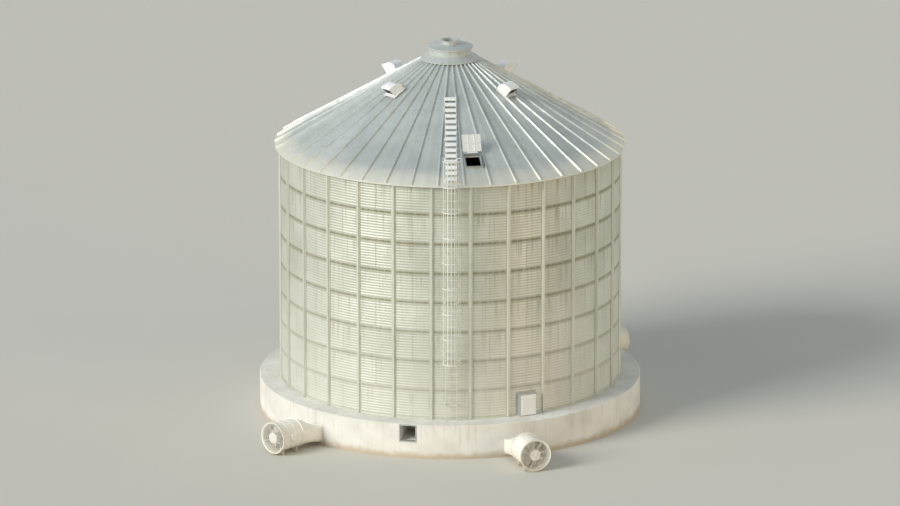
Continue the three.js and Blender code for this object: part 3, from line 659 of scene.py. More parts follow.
def wall_fixings(segment):
    """Posts with their splices and shoes, and every bolt of one segment."""
    shape = Shape()
    start = segment * SHEET_ARC
    middle = start + SHEET_ARC / 2
    rings = [LEDGE + ring * RING_PITCH for ring in range(RINGS + 1)]
    for angle in span(middle, SHEET_ARC / 2):
        place = turned(angle) @ move(0, -POST_FOOT, 0) @ rotated(pi, "Z")
        shape.add(prism(hat_section(), LEDGE, WALL_TOP), place)
        for ring in rings[2:-1:2]:
            low, high = span(ring + RING_PITCH / 2, SLEEVE)
            shape.add(prism(hat_section(SLEEVE_GAP), low, high), place)
        shape.add(block(span(0, 0.2), (0, 0.13), (LEDGE, LEDGE + SHOE), 0.003), place)
        shape.add(ANCHOR, place @ move(0, 0.1, LEDGE + SHOE))
        heights = [ring + wave * WAVE_PITCH for ring in rings[:-1] for wave in BOLT_WAVES]
        shape.add(BOLT, *bolt_places(span(angle, POST_BOLTS_APART), POST_FOOT + POST_FLANGE, heights))
    heights = np.clip(rings, LEDGE + WAVE_PITCH, WALL_TOP - WAVE_PITCH)
    angles = [start + (number + 0.5) / RING_BOLTS * SHEET_ARC for number in range(RING_BOLTS)]
    shape.add(BOLT, *bolt_places(angles, CREST, heights))
    for number, ring in enumerate(rings[:-1]):
        heights = [ring + wave * WAVE_PITCH for wave in range(1, WAVES)]
        seam = middle if number % 2 else start
        shape.add(BOLT, *bolt_places(span(seam, SEAM_BOLTS_APART), CREST, heights))
    return shape


def make_wall():
    for segment in range(SHEETS):
        number = f"{segment + 1:02d}"
        nodes = [f"wall_segment_{number}"]
        if segment == DOOR_SEGMENT:
            nodes = ["wall_left_of_door", "wall_right_of_door", "wall_over_door"]
        piece(f"wall_sheets_{number}", wall_sheets(segment), WALL_STEEL, nodes, crease=50)
        piece(f"wall_posts_{number}", wall_fixings(segment), POST_STEEL)


EDGE_SIDES = 168
BASE_ANGLE = mm((60, 0), (60, 5), (5, 5), (5, 60), (0, 60), (0, 0))


def make_wall_edges():
    """The angle ring under the eave, and the angle with its anchors at the foot of the wall."""
    low = WALL_TOP - 0.03
    side = EAVE_RING_OUTER - 0.006
    under = EAVE_RING_TOP - 0.006
    profile = [(EAVE_RING_OUTER, low), (EAVE_RING_OUTER, EAVE_RING_TOP), (EAVE_RING_INNER, EAVE_RING_TOP)]
    profile += [(EAVE_RING_INNER, under), (side, under), (side, low)]
    shape = Shape().add(spin(profile, EDGE_SIDES, closed=True))
    piece("eave_angle", shape, POST_STEEL, ["eave_ring"])

    inner = WALL_RADIUS + 0.001
    angles = np.linspace(DOOR_ANGLE + DOOR_EDGE, DOOR_ANGLE - DOOR_EDGE + tau, EDGE_SIDES)
    shape = Shape().add(sweep([(inner + out, LEDGE + up) for out, up in BASE_ANGLE], angles))
    for angle in spread(2 * SHEETS, 0):
        if not door_covers(angle, LEDGE):
            shape.add(SCREW, turned(angle) @ move(0, -inner - 0.035, LEDGE + 0.005))
    piece("wall_base_angle", shape, POST_STEEL)


# Roof: sectors of tapering panels with raised ribs, and the peak cap

RIB_HALF = 0.035
RIB_COLUMNS = mirrored([(RIB_HALF, 0), (0.0215, 0.9), (0.017, 1)])
PAN_COLUMNS = [(0.2, 0), (0.42, 0), (0.5, 1), (0.58, 0), (0.8, 0)]
PAN_BEAD = 0.011
ROOF_SKIN = 0.004
EAVE_LIP = 0.045
EAVE_ROUND = 0.003
ROOF_RADII = [EAVE_RADIUS - 0.004, 6.2, 5.5, 4.8, 4.1, 3.4, 2.7, 2, 1.4, PEAK_RADIUS]


def roof_row(start, radius):
    """Angles and rises of the columns across a sector, at one radius."""
    panels = PANELS // SECTORS
    edge = ROOF_LAP + SEAM / 2
    columns = [(start - (ROOF_LAP - SEAM / 2) / radius, 0.003)]
    for panel in range(panels):
        angle = start + panel * PANEL_ARC
        columns += [(angle + offset / radius, share * RIB_RISE) for offset, share in RIB_COLUMNS]
        left = angle + RIB_HALF / radius
        right = angle + PANEL_ARC - (edge if panel == panels - 1 else RIB_HALF) / radius
        bead = PAN_BEAD * min(1, radius / 5)
        columns += [(left + (right - left) * share, bead * rise) for share, rise in PAN_COLUMNS]
    columns.append((start + tau / SECTORS - edge / radius, 0))
    return np.array(columns).T


def roof_form(start):
    """One roof sector as a thin folded sheet with a lip turned down at the eave."""
    skins = []
    for skin in (0, ROOF_SKIN):
        angles, rises = roof_row(start, EAVE_RADIUS)
        edge = EAVE_RADIUS - skin
        top = roof_top(EAVE_RADIUS)
        rows = [bin_point(angles, edge, top - EAVE_LIP)]
        rows.append(bin_point(angles, edge, top + rises - skin - EAVE_ROUND))
        for radius in ROOF_RADII:
            angles, rises = roof_row(start, radius)
            rows.append(bin_point(angles, radius, roof_top(radius) + rises - skin))
        skins.append(np.array(rows))
    return slab(*skins)


def make_roof():
    for sector, start in enumerate(spread(SECTORS, 0), 1):
        shape = Shape().add(roof_form(start))
        nodes = [f"roof_sector_{sector}"]
        sheets = piece(f"roof_sheets_{sector}", shape, ROOF_STEEL, nodes, crease=25)
        if sector == 1:
            hole = block(span(0, 0.6), span(0, 0.6), span(0, 0.4))
            cut_away(sheets, Shape(on_roof(HATCH_ANGLE, HATCH_RADIUS)).add(hole))
    bolts = Shape()
    for angle in spread(PANELS, 0):
        for radius in np.arange(1.3, 6.5, 0.29):
            bolts.add(SCREW, on_roof(angle, radius) @ move(0, 0, RIB_HEIGHT))
    piece("roof_bolts", bolts, BRIGHT_STEEL)


SKIRT = 1.1
DRUM = 0.8
THROAT = 0.71
COLLAR = 0.3
INLET_FLANGE = 0.37
CAP_FOOT = 13.56
DRUM_TOP = 13.94
INLET_TOP = 14.18
LID_RISE = tan(radians(8))
LUG = mm((0, 0), (70, 0), (50, 60), (20, 60))


def make_cap():
    """The peak cap: skirt, drum, lid and filling collar, with beads, bolts and lifting lugs."""
    skirt_top = roof_top(SKIRT) + RIB_RISE + 0.018
    skirt_in = roof_top(DRUM) + RIB_RISE + 0.018
    lid_edge = DRUM_TOP + 0.014 - 0.06 * LID_RISE
    lid_in = DRUM_TOP + 0.014 + (DRUM - COLLAR) * LID_RISE
    flange = INLET_TOP - 0.014
    profile = [
        (THROAT, CAP_FOOT), (0.7496, CAP_FOOT), (0.7496, skirt_in - 0.03), (1.07, skirt_top - 0.002),
        (1.094, skirt_top - 0.024), (SKIRT, skirt_top - 0.02), (SKIRT, skirt_top + 0.008),
        (1.09, skirt_top + 0.016), (0.822, skirt_in + 0.006), (DRUM, skirt_in + 0.03), (DRUM, 13.8),
        (0.808, 13.808), (0.808, 13.822), (DRUM, 13.83), (DRUM, 13.915), (0.852, 13.906), (0.86, 13.912),
        (0.86, lid_edge), (0.845, lid_edge + 0.008), (0.32, lid_in - 0.004), (COLLAR, lid_in + 0.012),
        (COLLAR, flange), (INLET_FLANGE, flange), (INLET_FLANGE, INLET_TOP), (0.29, INLET_TOP),
        (0.285, INLET_TOP - 0.005), (0.285, 14), (THROAT, 13.93),
    ]
    cap = Shape().add(spin(profile, 84, closed=True))
    cap.add(SCREW, *[on_roof(angle, 1.04) @ move(0, 0, 0.089) for angle in spread(24)])
    for angle in spread(12):
        cap.add(SCREW, turned(angle) @ move(0, -0.335, flange) @ rotated(pi))
    for angle in spread(4):
        place = turned(angle) @ move(0.004, -0.72, DRUM_TOP + 0.012)
        cap.add(prism(LUG, -0.004, 0.004), place @ rotated(QUARTER, "Y") @ rotated(QUARTER, "Z"))
    piece("peak_cap_skin", cap, ROOF_STEEL, ["peak_cap"])


# Vents: hooded boxes with a screened mouth downhill, and a dark plate of painted shade behind the screen

VENT_RADIUS = 2.6
VENT_HALF = 0.24
VENT_FOOT = 0.62
VENT_PATH = mm((250, 0), (250, 250), (235, 275), (110, 400), (80, 421), (-240, 468), (-260, 460))
VENT_PATH += mm((-310, 420))
VENT_SIDE = mm((-210, 0), (250, 0), (250, 260), (90, 420), (-250, 466), (-305, 420))
VENT_MOUTH = mm((-195, 85), (-285, 415))
# A dark plate inside the mouth: painted shade standing for the dark throat of the vent.
VENT_SHADE_PLATE = mm((50, 80), (60, 80), (-50, 430), (-60, 430))
WIRE = 0.0022


def make_vent(number, angle):
    place = on_roof(angle, VENT_RADIUS)
    width = 2 * VENT_HALF
    skin = Shape(place)
    skin.add(bar([(0, y, z) for y, z in VENT_PATH], flat(0.004, width), SIDEWAYS))
    for x in (-VENT_HALF, VENT_HALF):
        skin.add(side_prism(VENT_SIDE, x - 0.002, x + 0.002))
        skin.add(bar([(x * 1.02, y, z) for y, z in VENT_PATH[1:]], flat(0.012, 0.012), SIDEWAYS))
        skin.add(bar([(x, y, z) for y, z in VENT_MOUTH], flat(0.024, 0.022), SIDEWAYS))
    for y, z in VENT_MOUTH:
        skin.add(block(span(0, width), span(y, 0.02), span(z, 0.026)))
    foot_top = RIB_HEIGHT + 0.012
    skin.add(block(span(0, VENT_FOOT), span(0, VENT_FOOT), (RIB_HEIGHT, foot_top), 0.003))
    edge = VENT_FOOT / 2 - 0.025
    for step in np.linspace(-0.27, 0.27, 6):
        corners = ((step, -edge), (step, edge), (-edge, step), (edge, step))
        skin.add(SCREW, *[move(x, y, foot_top) for x, y in corners])
    piece(f"vent_hood_{number}", skin, PALE_STEEL, [f"roof_vent_{number}"])

    screen = Shape(place)
    (y0, z0), (y1, z1) = [(y + 0.008, z) for y, z in VENT_MOUTH]
    for share in np.linspace(0.06, 0.94, 15):
        y = y0 + (y1 - y0) * share
        z = z0 + (z1 - z0) * share
        screen.add(level_rod(span(0, width - 0.008), y, z, WIRE, 4))
    for x in np.linspace(-VENT_HALF + 0.03, VENT_HALF - 0.03, 19):
        screen.add(rod((x, y0, z0), (x, y1, z1), WIRE, 4))
    # The dark plate behind the screen is painted shade.
    screen.add(side_prism(VENT_SHADE_PLATE, -VENT_HALF + 0.003, VENT_HALF - 0.003))
    piece(f"vent_screen_and_shade_plate_{number}", screen, DARK_STEEL_AND_SHADE)


# Hatch: a curb round the hole, and a lid that stands thrown back on its uphill hinge

HATCH_RADIUS = 5.5
HATCH_OPEN = radians(150)
HATCH_PIN = (0.36, 0.135)
CURB_WALL = (-0.31, 0.31)
CURB_SECTION = mm((-10, -20), (4, -20), (4, 110), (10, 114), (10, 120), (-8, 120), (-10, 118))
CURB_SKIRT = mm((-50, 0), (-10, 0), (-10, 40), (-14, 40), (-14, 4), (-50, 4))
CURB_SEAL = mirrored(mm((-6, 120), (-4, 124.5)))
HATCH_EAR = mm((319, 90), (374, 121), (374, 140), (367, 149), (353, 149), (319, 125))
LID_LIP = mm((-1, 125), (3, 125), (3, 143), (-1, 143))
LID_BOLTS = mm((-300, -300), (300, -300), (-300, 260), (300, 260), (-120, 260), (120, 260))
LID_GRIP = mirrored(mm((-70, 145), (-70, 175), (-60, 185)))
KNUCKLE = (-0.189, 0.189)


def make_hatch():
    place = on_roof(HATCH_ANGLE, HATCH_RADIUS)
    curb = Shape(place)
    for section in (CURB_SECTION, CURB_SKIRT):
        curb.add(level_rim(CURB_WALL, CURB_WALL, section))
    for x in (-0.2, 0.2):
        curb.add(side_prism(HATCH_EAR, x - 0.006, x + 0.006))
        curb.add(level_rod((x * 1.05, x * 1.08), *HATCH_PIN, 0.012, 6))
    curb.add(level_rod(span(0, 0.42), *HATCH_PIN, 0.008, 12))
    curb.add(block(span(0, 0.06), (-0.335, -0.32), (0.03, 0.1), 0.003))
    piece("hatch_curb_skin", curb, HATCH_STEEL, ["hatch_curb"])

    pin = move(0, *HATCH_PIN)
    lid = Shape(place @ pin @ rotated(-HATCH_OPEN) @ pin.inverted())
    lid.add(block((-0.35, 0.35), (-0.35, 0.305), (0.141, 0.145), 0.0015))
    lid.add(level_rim((-0.349, 0.349), (-0.349, 0.304), LID_LIP))
    for x in (-0.12, 0.12):
        lid.add(block(span(x, 0.05), (-0.32, 0.28), (0.131, 0.142), 0.004))
    lid.add(block((-0.3, 0.3), span(-0.02, 0.05), (0.129, 0.142), 0.004))
    lid.add(level_rod(KNUCKLE, *HATCH_PIN, 0.015, 16))
    lid.add(block(KNUCKLE, (0.29, 0.352), (0.138, 0.145), 0.001))
    lid.add(bar([(x, -0.29, z) for x, z in LID_GRIP], circle(0.007, 8), (0, 1, 0)))
    lid.add(SCREW, *[move(x, y, 0.141) @ rotated(pi) for x, y in LID_BOLTS])
    piece("hatch_lid_skin", lid, BRIGHT_STEEL, ["hatch_lid"], "hatch_lid")

    seal = Shape(place).add(level_rim(CURB_WALL, CURB_WALL, CURB_SEAL))
    piece("hatch_seal", seal, RUBBER)


# Door: a deep steel frame, and a leaf with hinges, clamps and a handle

DOOR_OUTER = 6.6
DOOR_DEPTH = 0.28
DOOR_FRONT = -6.625
DOOR_HINGE = (0.33, -6.62)
HINGE_HEIGHTS = (0.2, 0.65)
DOOR_BARS = mirrored([(-0.035, 0), (-0.035, DOOR_DEPTH - 0.004), (-0.031, DOOR_DEPTH)])
DOOR_FLANGE = mm((0, 0), (50, 0), (50, 5), (4, 5), (4, 30), (0, 30))
DOOR_SEAL = mirrored(mm((-8, 0), (-5, 3.5)))
LEAF_LIP = mm((-4, 0), (0, 0), (0, 17), (-4, 17))
LEAF_GRIP = mirrored(mm((-70, 0), (-70, 28), (-60, 38)))


def make_door():
    place = turned(DOOR_ANGLE) @ move(0, 0, LEDGE)
    hinge_x, hinge_y = DOOR_HINGE
    shape = Shape(place)
    rim = wall_rim((-0.315, 0.315), (0.035, DOOR_HEIGHT - 0.035), DOOR_DEPTH - DOOR_OUTER, DOOR_BARS)
    shape.add(rim).add(wall_rim((-0.35, 0.35), (0.02, DOOR_HEIGHT), -CREST, DOOR_FLANGE))
    spots = [(x, 0.1 + 0.125 * step) for step in range(6) for x in (-0.378, 0.378)]
    spots += [(x, DOOR_HEIGHT + 0.028) for x in np.linspace(-0.3, 0.3, 6)]
    shape.add(BOLT, *[facing_out(x, -CREST - 0.005, z) for x, z in spots])
    for z in HINGE_HEIGHTS:
        shape.add(block(span(hinge_x, 0.024), (hinge_y - 0.012, -6.599), (z - 0.025, z - 0.005)))
        shape.add(rod((*DOOR_HINGE, z - 0.01), (*DOOR_HINGE, z + 0.045), 0.008))
    piece("door_frame_skin", shape, HATCH_STEEL, ["door_frame"])

    seal = Shape(place).add(wall_rim((-0.3, 0.295), (0.055, 0.795), -DOOR_OUTER, DOOR_SEAL))
    piece("door_seal", seal, RUBBER)

    leaf = Shape(place)
    x0, x1 = (-0.305, 0.3)
    z0, z1 = (0.045, 0.805)
    front = DOOR_FRONT
    leaf.add(block((x0, x1), (front, front + 0.006), (z0, z1)))
    leaf.add(wall_rim((x0, x1), (z0, z1), -6.6055, LEAF_LIP))
    leaf.add(block((x0 + 0.05, x1 - 0.05), (front - 0.007, front + 0.001), (z0 + 0.05, z1 - 0.05), 0.0065))
    for z in np.linspace(z0 + 0.15, z1 - 0.15, 4):
        leaf.add(block((x0 + 0.09, x1 - 0.09), (front - 0.015, front - 0.006), span(z, 0.03), 0.007))
    for z in HINGE_HEIGHTS:
        leaf.add(rod((*DOOR_HINGE, z), (*DOOR_HINGE, z + 0.04), 0.015))
        leaf.add(block((0.06, 0.322), (front - 0.006, front + 0.002), span(z + 0.02, 0.03)))
        leaf.add(SCREW, *[facing_out(x, front - 0.006, z + 0.02) for x in (0.1, 0.17, 0.24)])
    middle = DOOR_HEIGHT / 2
    leaf.add(bar([(-0.275, front - out, middle + z) for z, out in LEAF_GRIP], circle(0.008, 8), SIDEWAYS))
    for z in span(middle, 0.5):
        leaf.add(block((-0.3, -0.2), (front - 0.022, front - 0.008), span(z, 0.035), 0.005))
        leaf.add(rod((-0.24, front - 0.008, z), (-0.24, front - 0.038, z), 0.014, 6))
    piece("door_leaf_skin", leaf, PALE_STEEL, ["door_leaf"], "door_leaf")


# Ladders: flat stiles and round rungs up the wall, with a hooped cage, and on up the roof

LADDER_Y = -6.64
LADDER_TOP = WALL_TOP + 1.1
RUNG_PITCH = 0.3
STILE_X = 0.2075
STILE = 0.014
CAGE_FOOT = LEDGE + 2.3
CAGE_STRAP = 0.04
CAGE_PLATE = 0.006
CAGE_HALF = 0.341
CAGE_STRAIGHT = 0.3
HOOPS = 9
HOOP_STEPS = 16
STRAP_STEPS = (1, 4, 7, 9, 11, 14, 17)
ROOF_LADDER = 4.0 / cos(SLOPE)
TREAD = mirrored(mm((-85, 88), (-85, 112), (-81, 115)))


def make_wall_ladder():
    shape = Shape(turned(LADDER_ANGLE))
    for x in (-STILE_X, STILE_X):
        inward = copysign(0.03, x)
        shape.add(block(span(x, STILE), span(LADDER_Y, 0.05), (LEDGE, LADDER_TOP), 0.003))
        shape.add(block(span(x, 0.08), span(LADDER_Y, 0.11), (LEDGE, LEDGE + 0.01)))
        for z in np.linspace(LEDGE + 0.6, WALL_TOP - 0.6, 5):
            shape.add(block(span(x - inward / 4, 0.006), (LADDER_Y, -CREST), span(z, 0.05)))
            shape.add(block(span(x + inward, 0.06), (-CREST - 0.007, -CREST), span(z, 0.06)))
            shape.add(BOLT, facing_out(x + inward, -CREST - 0.007, z))
    for z in np.arange(LEDGE + RUNG_PITCH, LADDER_TOP - RUNG_PITCH / 4, RUNG_PITCH):
        shape.add(level_rod(span(0, 2 * STILE_X + 0.018), LADDER_Y, z, 0.013, 12))
    piece("wall_ladder_bars", shape, BRIGHT_STEEL, ["wall_ladder"])


def make_cage():
    """Hoops that run out from the stiles and round in a half circle, with upright straps inside."""
    near = LADDER_Y - 0.018
    arc = [polar(CAGE_HALF, turn) for turn in np.linspace(pi, tau, HOOP_STEPS + 1)]
    path = [(-CAGE_HALF, near)] + [(x, near - CAGE_STRAIGHT + y) for x, y in arc] + [(CAGE_HALF, near)]
    shape = Shape(turned(LADDER_ANGLE))
    for z in np.linspace(CAGE_FOOT + CAGE_STRAP / 2, LADDER_TOP - CAGE_STRAP / 2, HOOPS):
        shape.add(bar([(x, y, z) for x, y in path], flat(CAGE_PLATE, CAGE_STRAP), UPWARDS))
        for side in (-1, 1):
            arm = sorted((side * 0.2, side * CAGE_HALF))
            shape.add(block(arm, span(near, CAGE_PLATE), span(z, CAGE_STRAP)))
            shape.add(SCREW, facing_out(side * 0.26, near - CAGE_PLATE / 2, z))
    centre = Vector((0, path[1][1]))
    for step in STRAP_STEPS:
        outward = (Vector(path[step]) - centre).normalized()
        x, y = Vector(path[step]) - outward * CAGE_PLATE
        line = [(x, y, CAGE_FOOT), (x, y, LADDER_TOP)]
        shape.add(bar(line, flat(CAGE_PLATE, 0.036), (-outward.y, outward.x, 0)))
    piece("ladder_cage", shape, BRIGHT_STEEL, ["cage_left", "cage_right", "cage_front"])


def make_roof_ladder():
    shape = Shape(on_roof(LADDER_ANGLE, 6.45))
    length = ROOF_LADDER
    for x in (-STILE_X, STILE_X):
        shape.add(block(span(x, STILE), (0, length), (0.075, 0.115), 0.003))
        for run in np.linspace(0.15, length - 0.15, 5):
            shape.add(block(span(x, 0.012), span(run, 0.06), (0, 0.08)))
            shape.add(block(span(x, 0.09), span(run, 0.09), (-0.002, 0.008)))
    tread = side_prism(TREAD, -STILE_X, STILE_X)
    shape.add(tread, *[move(0, run, 0) for run in np.arange(RUNG_PITCH / 2, length, RUNG_PITCH)])
    piece("roof_ladder_bars", shape, PALE_STEEL, ["roof_ladder"])


# Plinth: a cast ring with form joints, tie plugs, a chamfered ledge and the conveyor port

PORT_HALF = 0.3
PORT_FLOOR = 0.65
PORT_TOP = 1.25
PORT_EDGE = asin(PORT_HALF / PLINTH_OUTER)
PORT_RIM = mm((-6, -120), (0, -120), (0, -6), (45, -6), (45, 0), (-6, 0))
FORM_JOINTS = 24
JOINT_HALF = 0.008 / PLINTH_OUTER
JOINT_DEPTH = 0.006


def plinth_columns():
    """(angle, inset) round the ring from the port to the port, with a groove at each joint."""
    joints = spread(FORM_JOINTS)
    angles = np.linspace(PORT_EDGE, tau - PORT_EDGE, 145)
    columns = [(a, 0) for a in angles if min(abs(a - joint) for joint in joints) > JOINT_HALF * 1.5]
    for joint in joints:
        columns += [(joint - JOINT_HALF, 0), (joint - JOINT_HALF / 2, JOINT_DEPTH)]
        columns += [(joint + JOINT_HALF / 2, JOINT_DEPTH), (joint + JOINT_HALF, 0)]
    return sorted(columns)


def plinth_form(columns, outline):
    """Concrete across (angle, inset) columns. Its two ends stay parallel to the port's middle."""
    radii, heights = np.array(outline[::-1]).T
    outside = radii > PLINTH_INNER + 0.5
    rings = [bin_point(angle, radii - inset * outside, heights) for angle, inset in columns]
    for end in (0, -1):
        turns = np.copysign(np.arcsin(PORT_HALF / radii), sin(columns[end][0]))
        rings[end] = bin_point(turns, radii, heights)
    return loft(rings)


def make_plinth():
    shape = Shape()
    ledge = [(PLINTH_OUTER, LEDGE - 0.022), (PLINTH_OUTER - 0.022, LEDGE - 0.004)]
    ledge += [(6.5, LEDGE), (PLINTH_INNER, LEDGE)]
    foot = [(PLINTH_INNER, 0), (PLINTH_OUTER, 0)]
    shape.add(plinth_form(plinth_columns(), foot + ledge))
    port = [(angle, 0) for angle in np.linspace(-PORT_EDGE, PORT_EDGE, 5)]
    shape.add(plinth_form(port, foot + [(PLINTH_OUTER, PORT_FLOOR), (PLINTH_INNER, PORT_FLOOR)]))
    shape.add(plinth_form(port, [(PLINTH_INNER, PORT_TOP), (PLINTH_OUTER, PORT_TOP)] + ledge))
    plug = spin([(0.021, 0), (0.021, 0.002), (0.017, 0.003)], 12)
    for angle in spread(2 * FORM_JOINTS):
        shape.add(plug, *[on_wall(angle, PLINTH_OUTER - 0.001, height) for height in (0.38, 0.92)])
    piece("plinth_skin", shape, PLINTH_CONCRETE, ["plinth_ring"], crease=28)

    front = -PLINTH_OUTER - 0.001
    width = span(0, 2 * PORT_HALF - 0.012)
    rim = Shape().add(wall_rim(width, (PORT_FLOOR + 0.006, PORT_TOP - 0.006), front, PORT_RIM))
    for step in (-0.22, 0, 0.22):
        spots = [(step, PORT_FLOOR - 0.022), (step, PORT_TOP + 0.022)]
        spots += [(x, (PORT_FLOOR + PORT_TOP) / 2 + step) for x in (-0.322, 0.322)]
        rim.add(SCREW, *[facing_out(x, front, z) for x, z in spots])
    piece("port_frame", rim, HATCH_STEEL)

    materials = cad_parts["floor_slab"].data.materials
    materials.clear()
    materials.append(FLOOR_CONCRETE)


# Fans: a drum on saddles with a guarded bell mouth outwards, and a duct that turns square

FAN_HEIGHT = 0.64
FAN_NEAR = 8.25
FAN_FAR = 9.33
FAN_RADIUS = 0.53
FAN_FLANGE = 0.57
FAN_AXIS = facing_out(0, 0, FAN_HEIGHT)
BELL = mm((530, 120), (545, 90), (580, 30), (597, 12), (600, 4), (596, 0), (585, 1), (550, 20), (520, 60))
BELL += mm((505, 120), (500, 200))
GUARD_PLANE = FAN_FAR - 0.012
GUARD_CAP = mm((200, -160), (215, -150), (215, -20), (200, -6), (90, 4))
HUB = mm((150, 460), (160, 280), (140, 240), (80, 215))
MOTOR_CONE = mm((500, 620), (500, 600), (180, 520), (160, 450))
GLAND = mm((16, -50), (16, -12), (20, -12), (20, 0))
BLADES = 9
SADDLE_HALF = 0.38
SADDLE_ARC = np.radians(np.linspace(-46, -134, 13))
DUCT_HALF = 0.43
DUCT_LEVEL = (0.14, 0.7)
DUCT_COLLAR = mm((-10, 0), (40, 0), (40, 12), (-10, 12))
DUCT_POINTS = 48
DUCT_SHARES = (0, 0.05, 0.2, 0.35, 0.5, 0.65, 0.8, 0.95, 1)


def from_mouth(profile):
    """(radius, height) points from (radius, depth behind the mouth) points."""
    return [(radius, FAN_FAR - depth) for radius, depth in profile]


def drum_form():
    """The housing: flanges and beads outside, and a bell that narrows to the throat inside."""
    near = FAN_NEAR
    profile = [(0.5, near), (FAN_FLANGE, near), (FAN_FLANGE, near + 0.012), (FAN_RADIUS, near + 0.015)]
    for bead in (near + 0.34, near + 0.66):
        profile += [(FAN_RADIUS, bead - 0.03), (FAN_RADIUS + 0.012, bead - 0.012)]
        profile += [(FAN_RADIUS + 0.012, bead + 0.012), (FAN_RADIUS, bead + 0.03)]
    return spin(profile + from_mouth(BELL), 64, closed=True)


def blade_form(turn):
    share = np.linspace(0, 1, 6)[:, None]
    side = np.linspace(-1, 1, 5)
    radius = 0.15 + 0.33 * share
    pitch = np.radians(52 - 26 * share)
    reach = side * (0.1 - 0.03 * share)
    depth = 0.34 - reach * np.sin(pitch) - 0.012 * (1 - side * side)
    front = bin_point(turn + QUARTER + reach * np.cos(pitch) / radius, radius, FAN_FAR - depth)
    return slab(front, front - (0, 0, 0.005))


def make_fan(number, angle):
    place = turned(angle)
    drum = Shape(place).add(drum_form(), FAN_AXIS)
    drum.add(SCREW, *[FAN_AXIS @ move(*spot, FAN_NEAR + 0.012) for spot in circle(0.552, 16)])
    ground = 0.02 - FAN_HEIGHT
    cradle = [polar(FAN_RADIUS + 0.003, turn) for turn in SADDLE_ARC]
    outline = [(-SADDLE_HALF, ground), (SADDLE_HALF, ground)] + cradle
    for y in (FAN_NEAR + 0.17, FAN_FAR - 0.23):
        drum.add(prism(outline, *span(y, 0.012)), FAN_AXIS)
        drum.add(block(span(0, 2 * SADDLE_HALF), span(-y, 0.06), (0, 0.012), 0.003))
        for x in (-0.33, 0.33):
            drum.add(block(span(x, 0.008), span(-y, 0.06), (0.01, 0.2)))
            drum.add(ANCHOR, move(x * 0.85, -y - 0.018, 0.012) @ Matrix.Scale(0.6, 4))
    middle = -(FAN_NEAR + FAN_FAR) / 2
    side = FAN_RADIUS + 0.095
    height = FAN_HEIGHT + 0.06
    drum.add(block((FAN_RADIUS - 0.03, side), span(middle, 0.22), span(height, 0.26), 0.008))
    drum.add(block((side, side + 0.015), span(middle, 0.2), span(height, 0.24), 0.006))
    piece(f"fan_drum_{number}", drum, FAN_PAINT, [f"aeration_fan_{number}"])

    wheel = Shape(place @ FAN_AXIS)
    for radius in np.arange(0.25, 0.56, 0.04):
        ring = [(x, y, GUARD_PLANE) for x, y in circle(radius, 40, 0)]
        wheel.add(bar(ring, circle(0.005, 6), UPWARDS, closed=True))
    z = GUARD_PLANE - 0.006
    for x, y in circle(1, 8):
        wheel.add(rod((0.2 * x, 0.2 * y, z), (0.575 * x, 0.575 * y, z), 0.006, 6))
    wheel.add(spin([(radius, GUARD_PLANE + rise) for radius, rise in GUARD_CAP], 36))
    wheel.add(spin(from_mouth(HUB), 32)).add(spin(from_mouth(MOTOR_CONE), 32))
    for turn in spread(BLADES, 0):
        wheel.add(blade_form(turn))
    glands = [move(FAN_RADIUS + 0.04, middle + y, FAN_HEIGHT - 0.07) for y in (-0.06, 0, 0.06)]
    wheel.add(spin(GLAND, 12), *[FAN_AXIS.inverted() @ gland for gland in glands])
    piece(f"fan_wheel_{number}", wheel, WHEEL_STEEL)


def duct_form():
    """From a round-cornered rectangle at the plinth to the fan's circle."""
    low, high = DUCT_LEVEL
    share = np.array(DUCT_SHARES)[:, None]
    blend = np.clip((share - 0.05) / 0.9, 0, 1)
    x, z = np.array(circle(1, DUCT_POINTS)).T
    reach = (abs(x / DUCT_HALF) ** 14 + abs(2 * z / (high - low)) ** 14) ** (-1 / 14)
    y = 0.03 - PLINTH_OUTER - share * (FAN_NEAR - PLINTH_OUTER + 0.03 - SEAM)
    level = (1 - blend) * ((low + high) / 2 + reach * z) + blend * (FAN_HEIGHT + FAN_RADIUS * z)
    return loft(grid(((1 - blend) * reach + blend * FAN_RADIUS) * x, y, level))


def make_duct(number, angle):
    low, high = DUCT_LEVEL
    duct = Shape(turned(angle)).add(duct_form())
    duct.add(wall_rim((-DUCT_HALF, DUCT_HALF), DUCT_LEVEL, -PLINTH_OUTER, DUCT_COLLAR))
    flange = [(0.54, -0.015), (FAN_FLANGE, -0.015), (FAN_FLANGE, -SEAM), (0.54, -SEAM)]
    duct.add(spin([(radius, FAN_NEAR + z) for radius, z in flange], 64), FAN_AXIS)
    spots = [(x, z) for x in np.linspace(-0.38, 0.38, 6) for z in (low - 0.022, high + 0.022)]
    spots += [(x, z) for z in np.linspace(low + 0.08, high - 0.08, 4) for x in (-0.452, 0.452)]
    duct.add(SCREW, *[facing_out(x, -PLINTH_OUTER - 0.012, z) for x, z in spots])
    piece(f"duct_skin_{number}", duct, FAN_PAINT, [f"fan_duct_{number}"])


make_wall()
make_wall_edges()
make_roof()
make_cap()
for vent in enumerate(VENT_ANGLES, 1):
    make_vent(*vent)
make_hatch()
make_door()
make_wall_ladder()
make_cage()
make_roof_ladder()
make_plinth()
for fan in enumerate(FAN_ANGLES, 1):
    make_fan(*fan)
    make_duct(*fan)


# Stage: pale floor, soft light from the left, and the camera at the photograph's angle

FLOOR_SIZE = 1800
CAMERA_AZIMUTH = 12.5
CAMERA_ELEVATION = 15.5
CAMERA_LENS = 260
CAMERA_DISTANCE = 245.0
CAMERA_TARGET = Vector((0, 0, 5.9))
HORIZON = (0.67, 0.66, 0.62)
ZENITH = (0.215, 0.3, 0.38)


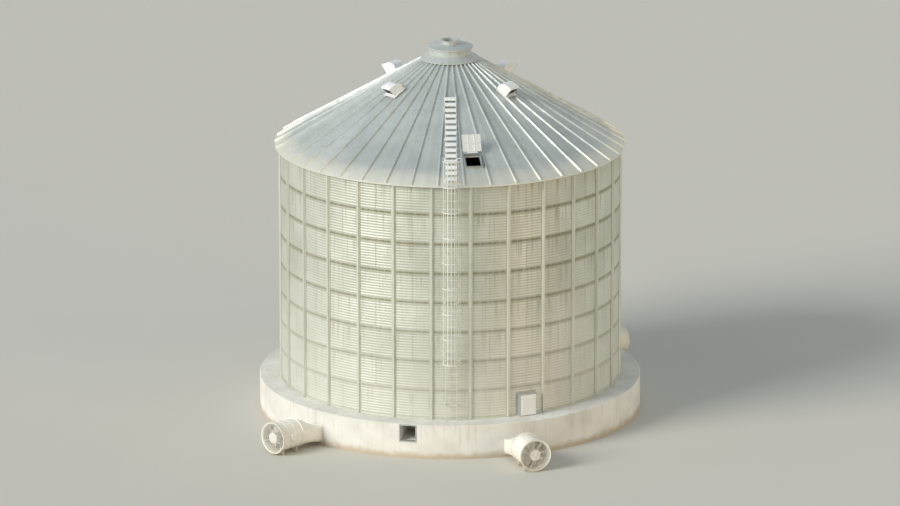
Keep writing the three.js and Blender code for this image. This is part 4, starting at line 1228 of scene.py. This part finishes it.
def make_stage():
    corners = np.array([(x, y, 0) for x, y in flat(FLOOR_SIZE, FLOOR_SIZE)])
    floor = put("floor", Shape().add((corners, [(0, 1, 2, 3)])).mesh("floor"))
    paint = Paint("floor_pale", 0, 0.2)
    paint.tones(paint.noise(0.15), (0.66, 0.635, 0.575), (0.67, 0.645, 0.585))
    floor.data.materials.append(paint.finish(0.9))


def direction(azimuth, elevation):
    a = radians(azimuth)
    e = radians(elevation)
    return Vector((sin(a) * cos(e), -cos(a) * cos(e), sin(e)))


def aim(thing, back):
    """Turns a lamp or camera so that its back points along a direction."""
    thing.rotation_mode = "QUATERNION"
    thing.rotation_quaternion = back.to_track_quat("Z", "Y")


def make_sun(name, azimuth, elevation, strength, spread_angle, colour):
    light = bpy.data.lights.new(name, "SUN")
    light.energy = strength
    light.angle = radians(spread_angle)
    light.color = colour
    aim(put(name, light), direction(azimuth, elevation))


def make_camera():
    data = bpy.data.cameras.new("camera")
    data.lens = CAMERA_LENS
    data.clip_end = 2000
    camera = put("camera", data)
    back = direction(CAMERA_AZIMUTH, CAMERA_ELEVATION)
    camera.location = CAMERA_TARGET + back * CAMERA_DISTANCE
    aim(camera, back)
    bpy.context.scene.camera = camera


def make_light():
    make_sun("key", -45, 26, 2.6, 28, (1, 0.965, 0.9))
    make_sun("warm_fill", 62, 3, 0.88, 35, (1, 0.7, 0.3))
    make_sun("rim", 142, 5, 0.25, 30, (0.94, 0.98, 1))
    world = bpy.data.worlds.new("studio")
    bpy.context.scene.world = world
    world.use_nodes = True
    nodes = world.node_tree.nodes
    link = world.node_tree.links.new
    split = nodes.new("ShaderNodeSeparateXYZ")
    ramp = nodes.new("ShaderNodeValToRGB")
    for end, colour in zip(ramp.color_ramp.elements, (HORIZON, ZENITH)):
        end.color = (*colour, 1)
    link(nodes.new("ShaderNodeTexCoord").outputs["Generated"], split.inputs[0])
    link(split.outputs["Z"], ramp.inputs[0])
    link(ramp.outputs[0], nodes["Background"].inputs["Color"])
    bpy.context.scene.view_settings.view_transform = "Standard"


make_stage()
make_camera()
make_light()
